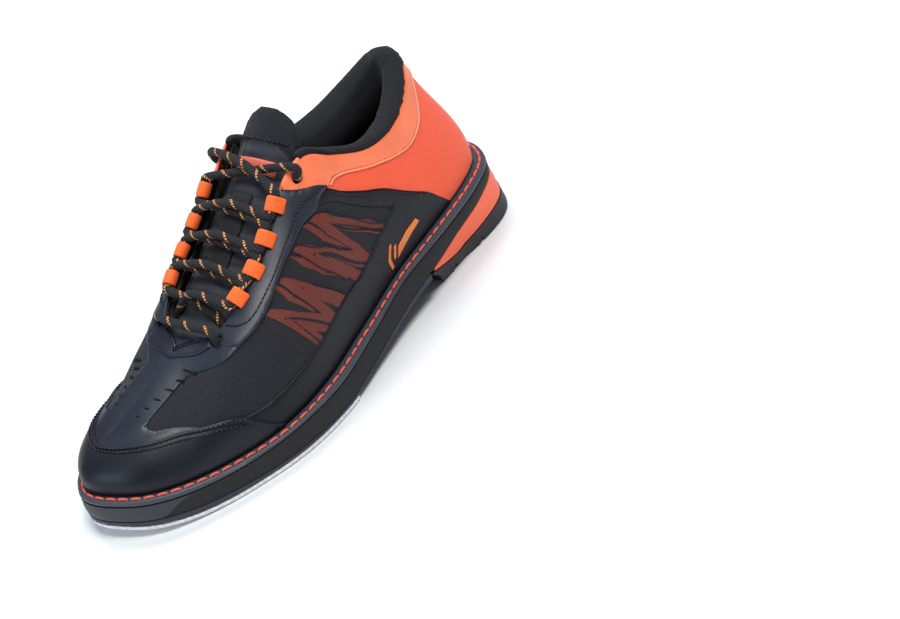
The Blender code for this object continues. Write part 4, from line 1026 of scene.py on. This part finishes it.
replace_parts(sew("toe_cap_stitches_1", cap_line(0.022), 0.0), "toe_cap_seam_1")
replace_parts(sew("toe_cap_stitches_2", cap_line(0.054), 0.08), "toe_cap_seam_2")
STAY_SEAM = [(0.476, 0.757), (0.500, 0.752), (0.535, 0.784), (0.558, 0.800), (0.60, 0.812), (0.654, 0.807),
             (0.694, 0.785), (0.718, 0.80), (0.742, 0.868), (0.760, 0.97)]
SIDE_SEAM = [(0.466, 0.715), (0.405, 0.675), (0.353, 0.618), (0.30, 0.478), (0.255, 0.323)]
for side, tag in SIDES.items():
    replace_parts(sew("eyestay_stitches_" + tag, [(side, t, v) for t, v in STAY_SEAM], -0.22),
                "eyestay_seam_" + tag)
    sew("side_edge_stitches_" + tag, [(side, t, v) for t, v in SIDE_SEAM], -0.78)
    path, normals = surface_path([(side, max(t, T_LOW), v) for t, v in PALE_LINE], -0.75, 1.2)
    P, F, UV = tube(path, 0.5, 6)
    piece("pale_line_" + tag, P, F, PIPING, UV)

# the front of the throat is closed to a round U
POINTS_ACROSS, POINTS_ALONG = 17, 9
TAB_REAR, TAB_BOW, TAB_FRONT = 0.800, 0.022, 0.8445  # t of its rear corners, the bow between them, its front
TAB_THICK, TAB_RISE = 1.0, 0.7
top, under = [], []
for u in np.linspace(0, 1, POINTS_ACROSS):
    bow = 1 - (2 * u - 1) ** 2
    for t in np.linspace(TAB_REAR + TAB_BOW * bow, TAB_FRONT, POINTS_ALONG):
        point = on(t, V_HIGH, 0.1, 1) * (1 - u) + on(t, V_HIGH, 0.1,
                                                     -1) * u + np.array([0, 0, TAB_RISE * bow])
        top.append(point)
        under.append(point - np.array([0, 0, TAB_THICK]))
P, F = np.array(top + under), []
n = len(top)
for i in range(POINTS_ACROSS - 1):
    for j in range(POINTS_ALONG - 1):
        a = i * POINTS_ALONG + j
        b = a + POINTS_ALONG
        F += [[a, b, b + 1, a + 1], [n + a, n + a + 1, n + b + 1, n + b]]
    a = i * POINTS_ALONG
    F.append([a, n + a, n + a + POINTS_ALONG, a + POINTS_ALONG])
outward(piece("throat_tab", P, F, SKIN_BLACK))
MOON_U = [(1, 0.792, 0.955), (1, 0.815, 0.958), (1, 0.838, 0.972), (1, 0.848, 0.9995)]
sew("throat_stitches", MOON_U + [(-1, t, v) for _, t, v in MOON_U[::-1]], 0.15)

# a plain badge of three slanted strokes, no lettering
BADGE = [[(0.358, 0.075), (0.364, 0.165), (0.358, 0.262), (0.352, 0.262), (0.357, 0.165), (0.352, 0.085)],
         [(0.350, 0.130), (0.346, 0.222), (0.340, 0.222), (0.344, 0.130)],
         [(0.340, 0.105), (0.300, 0.165), (0.278, 0.185), (0.286, 0.235), (0.312, 0.225), (0.336, 0.185)]]
badge = panel("side_emblem", [(1, r) for r in straight_runs(BADGE)], -0.35, 0.5, BADGE_ORANGE, 1.6, 0.4, 0.15)
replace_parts(badge, "side_badge")

# ---------------------------------------------------------------- padded collar
IN = -7.5  # the padding's inner face, from the base surface
COLLAR_END = 0.505  # t where the padding ends, on both sides


def collar_section(t, side):
    """closed section through the roll: (distance below the top line, depth) pairs, outer lip first"""
    fat = smooth(t, [0, 0.1, 0.3, 0.42, 0.47, COLLAR_END], [1.15, 1.1, 1.0, 0.75, 0.3, 0.1])
    deep = smooth(t, [0, 0.2, 0.42, 0.47, COLLAR_END], [40, 32, 24, 15, 9])
    thin = smooth(t, [0, 0.45, 0.48, COLLAR_END], [1, 1, 0.8, 0.4])
    rise = upper(t, 1.0, side) - upper(t, 0.985, side)
    rise /= np.linalg.norm(rise)
    row = [(3.0, -1.6), (2.6, 0.1), (1.6, 0.45), (0.0, 0.1), (-1.9, -1.5), (-2.9, -4.6),
           (-1.6, IN - 2.8 * fat),
           (0.28 * deep, IN - 6.6 * fat), (0.55 * deep, IN - 5.8 * fat), (0.8 * deep, IN - 3.0 * fat),
           (deep, IN - 0.7),
           (deep, IN + 0.6), (0.55 * deep, IN + 0.6), (0.28 * deep, IN + 0.6), (2.6, IN), (3.0, -4.0)]
    row = np.array(row) * [1, thin]
    down_v = np.linspace(1, 0.2, 60)
    v = np.interp(np.maximum(row[:, 0], 0), arc(upper(t, down_v, side)), down_v)
    P = upper(t, v, side) + upper_normal(t, v, side) * row[:, 1:]
    return P - rise * np.minimum(row[:, :1], 0)


def loft(sections):
    """points, faces and uv through closed sections, capped at both ends"""
    n, m = len(sections[0]), len(sections)
    F = []
    for k in range(m - 1):
        F += [[k * n + i, k * n + (i + 1) % n, (k + 1) * n + (i + 1) % n, (k + 1) * n + i] for i in range(n)]
    F.append(list(range(n))[::-1])
    F.append([(m - 1) * n + i for i in range(n)])
    P = np.vstack(sections)
    mid = arc(np.array([s.mean(0) for s in sections]))
    ring_arc = []
    for s in sections:
        a = arc(np.vstack([s, s[:1]]))
        ring_arc.append(np.minimum(a, a[-1] - a)[:n])
    uv = np.array([(mid[k], ring_arc[k][i]) for k in range(m) for i in range(n)])
    return P, F, uv


CLOTH_FRAMES = 20


def puff(name, points, faces, uv, pinned, material, body, voxel, pressure, cap):
    """padded piece, remeshed and smoothed. In between, a short cloth run under pressure, held at the sewn
    lines, settles its surface by less than 0.3 mm: the fullness is in the points given. Sizes in mm"""
    rough = outward(piece(name, points, faces, material, uv, None))
    m = rough.modifiers.new("voxels", "REMESH")
    m.mode, m.voxel_size = "VOXEL", voxel * MM
    scene = bpy.context.scene
    ground = [rough.matrix_world @ v.co for v in rough.data.vertices]
    polygons = [list(p.vertices) for p in rough.data.polygons if len(p.vertices) < 5]
    tree = BVHTree.FromPolygons(ground, polygons)
    mesh = bpy.data.meshes.new_from_object(rough.evaluated_get(bpy.context.evaluated_depsgraph_get()))
    bpy.data.objects.remove(rough)
    pad = bpy.data.objects.new(name, mesh)
    scene.collection.objects.link(pad)
    data = np.c_[np.asarray(uv, float), np.asarray(pinned, float)]
    values = []
    for v in mesh.vertices:
        spot, _, index, _ = tree.find_nearest(v.co)
        corners = polygons[index]
        weights = poly_3d_calc([ground[k] for k in corners], spot)
        values.append(sum(w * data[k] for w, k in zip(weights, corners)))
    values = np.array(values)
    group = pad.vertex_groups.new(name="sewn")
    for k, w in enumerate(values[:, 2]):
        group.add([k], float(min(max(w, 0), 1)), "REPLACE")
    rest = np.array([v.co[:] for v in mesh.vertices])
    cloth = pad.modifiers.new("cloth", "CLOTH")
    cloth.settings.use_pressure, cloth.settings.uniform_pressure_force = True, pressure
    cloth.settings.vertex_group_mass = "sewn"
    cloth.settings.effector_weights.gravity = 0
    cloth.settings.quality = 4
    cloth.point_cache.frame_start, cloth.point_cache.frame_end = 1, CLOTH_FRAMES
    for frame_number in range(1, CLOTH_FRAMES + 1):
        scene.frame_set(frame_number)
    swollen = pad.evaluated_get(bpy.context.evaluated_depsgraph_get()).to_mesh()
    moved = np.array([v.co[:] for v in swollen.vertices]) - rest
    length = np.linalg.norm(moved, axis=1, keepdims=True)
    moved *= np.minimum(1, cap * MM / np.maximum(length, 1e-9))
    pad.modifiers.clear()
    pad.vertex_groups.clear()
    scene.frame_set(1)
    mesh.vertices.foreach_set("co", (rest + moved).ravel())
    layer = mesh.uv_layers.new(name="mm") if "mm" not in mesh.uv_layers else mesh.uv_layers["mm"]
    loops = np.empty(len(mesh.loops), np.int32)
    mesh.loops.foreach_get("vertex_index", loops)
    layer.data.foreach_set("uv", values[loops, :2].astype(np.float32).ravel())
    mesh.materials.clear()
    mesh.materials.append(material)
    mesh.shade_smooth()
    mesh.update()
    if body:
        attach(pad, body)
    return rounded(pad)


def rounded(ob, levels=1):
    m = ob.modifiers.new("round", "SUBSURF")
    m.levels = m.render_levels = levels
    return ob


half = {s: [collar_section(t, s) for t in np.linspace(COLLAR_END, 0.0, 34)] for s in SIDES}
sections = half[1] + half[-1][-2::-1]
P, F, UV = loft(sections)
# along collar_section: the roll is free, the rest is sewn down
ROW_PINNED = [1, 1, 1, 0.6, 0, 0, 0, 0, 0, 0, 1, 1, 1, 1, 1, 1]
number = np.arange(len(sections))
ends = np.clip(4 - np.minimum(number, number[::-1]), 0, 4)[:, None] / 4  # both ends are sewn down too
pinned = np.maximum(np.tile(ROW_PINNED, (len(sections), 1)), ends).ravel()
collar = puff("collar_padding", P, F, UV, pinned, COLLAR_MESH, "shoe", voxel=2.4, pressure=4.0, cap=4.0)
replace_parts(collar, "collar_lining")

# ---------------------------------------------------------------- tongue
YC = -2.0  # the throat's centre line
# x, z of the upper face, half width, drop at the edges, thickness
TONGUE = [(92, 44.5, 14, 4, 3.0), (80, 48.5, 12, 3, 3.5), (70, 54.0, 12, 2.5, 4.5), (58, 62.5, 15.5, 3.0, 6),
          (46, 71.0, 20, 5.0, 7), (30, 80.0, 23.5, 7.5, 7), (8, 95.5, 23, 8.0, 7),
          (-10.5, 107.5, 20.5, 8, 7.5)]
TIP = [(-13, 110.2, 20.5, 8.5, 8), (-19, 117, 20.5, 8, 9), (-26.5, 124, 18.5, 6.5, 9.5),
       (-32, 129, 14.5, 4.5, 8.5), (-35, 131.0, 10.5, 2.8, 6), (-36.5, 131.6, 7, 1.8, 3)]
WHOLE = TONGUE + TIP
SEAM_AT = 0.30  # along the tip, where its mesh starts


def tongue_at(rows, u):
    R = spline(rows, 6)
    s = np.linspace(0, 1, len(R))
    row = [float(np.interp(u, s, R[:, k])) for k in range(5)]
    ahead, back = (np.array([np.interp(q, s, R[:, k]) for k in (0, 1)])
                   for q in (min(u + 0.02, 1), max(u - 0.02, 0)))
    d = (ahead - back) / np.linalg.norm(ahead - back)
    n = np.array([d[1], 0, -d[0]])
    return row, (n if n[2] > 0 else -n)


def tongue_point(rows, u, w, off):
    """point over the tongue: u along 0..1, w across -1..1, off above the upper face"""
    (x, z, half_width, drop, thick), n = tongue_at(rows, u)
    return np.array([x, YC + half_width * w, z]) - n * (drop * w * w - off), n, thick


def tongue_sections(rows, stations, width, relief):
    out = []
    for u in np.linspace(0, 1, stations):
        top, low = [], []
        for w in np.linspace(-1, 1, width):
            p, n, thick = tongue_point(rows, u, w, 0.0)
            top.append(p + n * relief(u, w))
            low.append(p - n * thick * (1 - 0.62 * w ** 4))
        out.append(np.array(top + low[::-1]))
    return out


def channels(u, w):
    """padded channels: sewn valleys along both edges and beside the middle strip, pinched edges"""
    k = np.exp(-((abs(w) - 0.74) / 0.07) ** 2) * 1.3 + np.exp(-((abs(w) - 0.40) / 0.06) ** 2) * 0.7
    return -k * min(1.0, u / 0.05)


STATIONS, ACROSS = 74, 29
P, F, UV = loft(tongue_sections(WHOLE, STATIONS, ACROSS, channels))
across = np.abs(np.linspace(-1, 1, ACROSS))
face = np.maximum(np.exp(-((across - 0.74) / 0.06) ** 2), np.exp(-((across - 0.40) / 0.05) ** 2))
pinned = np.tile(np.r_[face, np.maximum(face[::-1], 0.9)], STATIONS)
tongue = puff("tongue_pad", P, F, UV, pinned, SATIN, None, voxel=2.0, pressure=3.0, cap=2.2)
tongue.data.materials.append(TIP_MESH)
split = tongue_at(TIP, SEAM_AT)[0][0]
for f in tongue.data.polygons:
    f.material_index = int(f.center.x / MM + PLAN_CENTRE[0] < split)
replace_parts(tongue, "tongue", "tongue_tip")


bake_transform(tongue)


def over_tongue(rows, u, w0, w1, off, n=40):
    """path across the tongue's face and its normals"""
    ws = np.linspace(w0, w1, n)
    P = [tongue_point(rows, u, w, off) for w in ws]
    return np.array([p[0] for p in P]), np.array([p[1] for p in P])


path, normals = over_tongue(TIP, SEAM_AT, -0.97, 0.97, 0.25, 60)
P, F, UV = stitches(path, normals, 2.4, 1.8, 0.42, 5)
piece("tongue_seam_stitches", P, F, THREAD, UV, "tongue_tip")
parts = []
for w in (-0.74, 0.74):
    line = [tongue_point(TONGUE, u, w, -1.15) for u in np.linspace(0.10, 0.97, 60)]
    parts.append(stitches(np.array([p[0] for p in line]), np.array([p[1] for p in line]), 2.6, 1.9, 0.34, 5))
piece("tongue_edge_stitches", *joined(parts)[:2], THREAD)


def strip_on_tongue(name, rows, u0, u1, half, low, high, material, body, along=12, across=15, bow=0.0):
    """thin plate over the tongue, its long edges bowed along the tongue"""
    top, under = [], []
    for u in np.linspace(u0, u1, along):
        for w in np.linspace(-half, half, across):
            edge = 1 - max(abs(w) / half, abs(2 * (u - u0) / (u1 - u0) - 1)) ** 8 * 0.5
            at = u + bow * (w / half) ** 2
            top.append(tongue_point(rows, at, w, low + (high - low) * edge)[0])
            under.append(tongue_point(rows, at, w, low)[0])
    n = along * across
    F = []
    for i in range(along - 1):
        for j in range(across - 1):
            a = i * across + j
            F.append([a, a + 1, a + across + 1, a + across])
            F.append([n + a, n + a + across, n + a + across + 1, n + a + 1])
    border = list(range(across)) + [i * across + across - 1 for i in range(1, along)]
    border += [(along - 1) * across + j for j in range(across - 2, -1, -1)]
    border += [i * across for i in range(along - 2, 0, -1)]
    F += [[b, a, n + a, n + b] for a, b in zip(border, border[1:] + border[:1])]
    P = np.array(top + under)
    cell = 1.2  # mm of cloth per step
    uv = np.array([(j * cell, i * cell) for i in range(along) for j in range(across)] * 2)
    return outward(piece(name, P, F, material, uv, body))


R = spline(WHOLE, 6)
low_u, high_u = np.interp([11.6, 16.0], -R[:, 0], np.linspace(0, 1, len(R)))
label = strip_on_tongue("tongue_tag", WHOLE, low_u, high_u, 0.66, -0.2, 0.8, LABEL, "tongue_tip", bow=-0.006)
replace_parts(label, "tongue_label")
keeper = strip_on_tongue("lace_keeper", TONGUE, 0.70, 0.93, 0.30, 0.2, 1.5, WEBBING_BLACK, "shoe", 24, 11)
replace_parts(keeper, "tongue_keeper")

# ---------------------------------------------------------------- webbing loops
LOOPS = [0.711, 0.660, 0.613, 0.568]
LOOP_IN, LOOP_UP = 1.0, 1.4  # the lace's centre in a loop: inward from the throat's edge, above the skin
LOOP_RADIUS, LOOP_HALF = 2.95, 3.9  # of the bend round the lace, and half the tape's width
LOOP_ROOT = [(-4.9, 0.15), (-4.7, 1.1), (-4.0, 1.9), (-2.6, 3.1), (-1.2, 3.9)]  # from the skin up to the bend
LACE = 2.2  # the lace's radius
# the tape's section: (share of its half width, height in mm) pairs
TAPE = [(-1, -0.15), (-0.93, 0.42), (-0.7, 0.55), (0, 0.58), (0.7, 0.55), (0.93, 0.42), (1, -0.15),
        (0.93, -0.42), (0, -0.5), (-0.93, -0.42)]


def throat_frame(t, side):
    """point on the throat's edge, and the directions along it, out of the skin and inwards"""
    along = upper(t + 0.01, 1.0, side) - upper(t - 0.01, 1.0, side)
    along /= np.linalg.norm(along)
    out = upper_normal(t, 0.97, side)
    inward = np.cross(out, along)
    inward *= -np.sign(inward[1] * side) / np.linalg.norm(inward)
    return upper(t, 1.0, side), along, out, inward


for side, tag in SIDES.items():
    for number, t in enumerate(LOOPS, 1):
        edge, along, out, inward = throat_frame(t, side)
        bend = [(LOOP_IN + LOOP_RADIUS * math.cos(q), LOOP_UP + LOOP_RADIUS * math.sin(q))
                for q in np.radians(np.linspace(108, -115, 12))]
        flat = spline(LOOP_ROOT + bend, 3)
        d = np.gradient(flat, axis=0)
        n2 = np.c_[-d[:, 1], d[:, 0]] / np.linalg.norm(d, axis=1, keepdims=True)
        rows, run = [], arc(flat)
        for k, (p, q) in enumerate(flat):
            rows.append(np.array([edge + along * w * LOOP_HALF + inward * (p + n2[k, 0] * h)
                                  + out * (q + n2[k, 1] * h) for w, h in TAPE]))
        P, F, _ = loft(rows)
        uv = np.array([(run[k], w * LOOP_HALF) for k in range(len(flat)) for w, _ in TAPE])
        webbing = outward(piece("webbing_loop_%s_%d" % (tag, number), P, F, WEBBING, uv))
        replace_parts(webbing, "lace_loop_%s_%d" % (tag, number))

# ---------------------------------------------------------------- shoelace, along the CAD lace's route
OVER = 4.8  # extra height of the strand that crosses on top
INSIDE = -9.8  # the tails' depth below the base surface


def in_loop(t, side):
    """the lace's way through one loop, and a little inwards before and after it"""
    edge, along, out, inward = throat_frame(t, side)
    g = edge + inward * LOOP_IN + out * LOOP_UP
    near, far, swing = along * 3, along * 6.7, inward * 1.2
    return [g + far + swing, g + near, g, g - near, g - far + swing]


def crossing(p, q, lift):
    """the strand's middle, over the tongue"""
    x = (p[0] + q[0]) / 2
    R = spline(TONGUE, 6)
    z = float(np.interp(-x, -R[:, 0], R[:, 1]))
    return [np.array([x, YC, z + LACE * 1.3 + 1.6 + lift])]


def half_lace(first, on_top):
    """from the low eyelet on one side up through the loops to a tail inside the top eyelet"""
    side = first
    edge, along, out, inward = throat_frame(0.762, side)
    t, v = LOW_HOLE
    points = [on(t, v, 1.0, side), on(t, v, -3.0, side), on(t, v, -7.6, side),
              on(t - 0.006, v + 0.04, INSIDE - 0.6, side), edge + inward * 5.2 - out * 4.8]
    for k, t in enumerate(LOOPS):
        side = -side
        way = in_loop(t, side)
        points += crossing(points[-1], way[0], OVER if k % 2 == on_top else 0.0) + way
    side = -side
    t, v = TOP_HOLE
    way = [on(t, v + 0.07, LACE + 1.0, side), on(t, v, 1.2, side), on(t, v, -3.0, side), on(t, v, -7.6, side)]
    points += crossing(points[-1], way[0], OVER * on_top) + way
    return points + [on(t, v - 0.10, INSIDE - 0.4, side), on(t + 0.004, 0.66, INSIDE, side),
                     on(t + 0.007, 0.52, INSIDE, side)]


low_bar = [on(LOW_HOLE[0], 0.955, LACE + 1.0, 1), np.array([64.5, 6, 69.0]), np.array([64.5, -10, 69.0]),
           on(LOW_HOLE[0], 0.955, LACE + 1.0, -1)]
ROUTE = half_lace(1, 1)[::-1] + low_bar + half_lace(-1, 0)
fine = spline(ROUTE, 8)
run = arc(fine)
LACE_STEP, LACE_SIDES = 1.1, 14
stops = np.linspace(0, run[-1], int(run[-1] / LACE_STEP))
P, F, UV = tube(resample(fine, run, stops), LACE, LACE_SIDES)
lace = piece("lace_cord", P, F, LACE_CLOTH, UV)
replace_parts(lace, "shoelace")

# ---------------------------------------------------------------- CAD solids that keep their shape
def cloth_by_place(name, colour):
    """soft cloth for a shape without lengthwise and crosswise millimetres"""
    g = Graph(name, colour, 0.9, Sheen_Weight=0.2, Specular_IOR_Level=0.2)
    cell = g.cells(700)
    # the cloth is darker in the dimples of its relief: painted shade
    g.tone(cell, 0.6, 1.3)
    g.relief((cell, 0.2))
    return g.mat


INSIDE_CLOTH = cloth_by_place("inside_cloth", (0.008, 0.006, 0.006))
LINER_CLOTH = cloth_by_place("liner_cloth", (0.02, 0.02, 0.022))
for name, material in (("insole_board", BOARD), ("toe_puff", BOARD), ("sockliner", LINER_CLOTH),
                       ("vamp_lining", INSIDE_CLOTH),
                       ("heel_lining", INSIDE_CLOTH), ("quarter_lining_lateral", INSIDE_CLOTH),
                       ("quarter_lining_medial", INSIDE_CLOTH), ("aglet_lateral", CLEAR),
                       ("aglet_medial", CLEAR)):
    ob = NODES[name]
    ob.data.materials.clear()
    ob.data.materials.append(material)
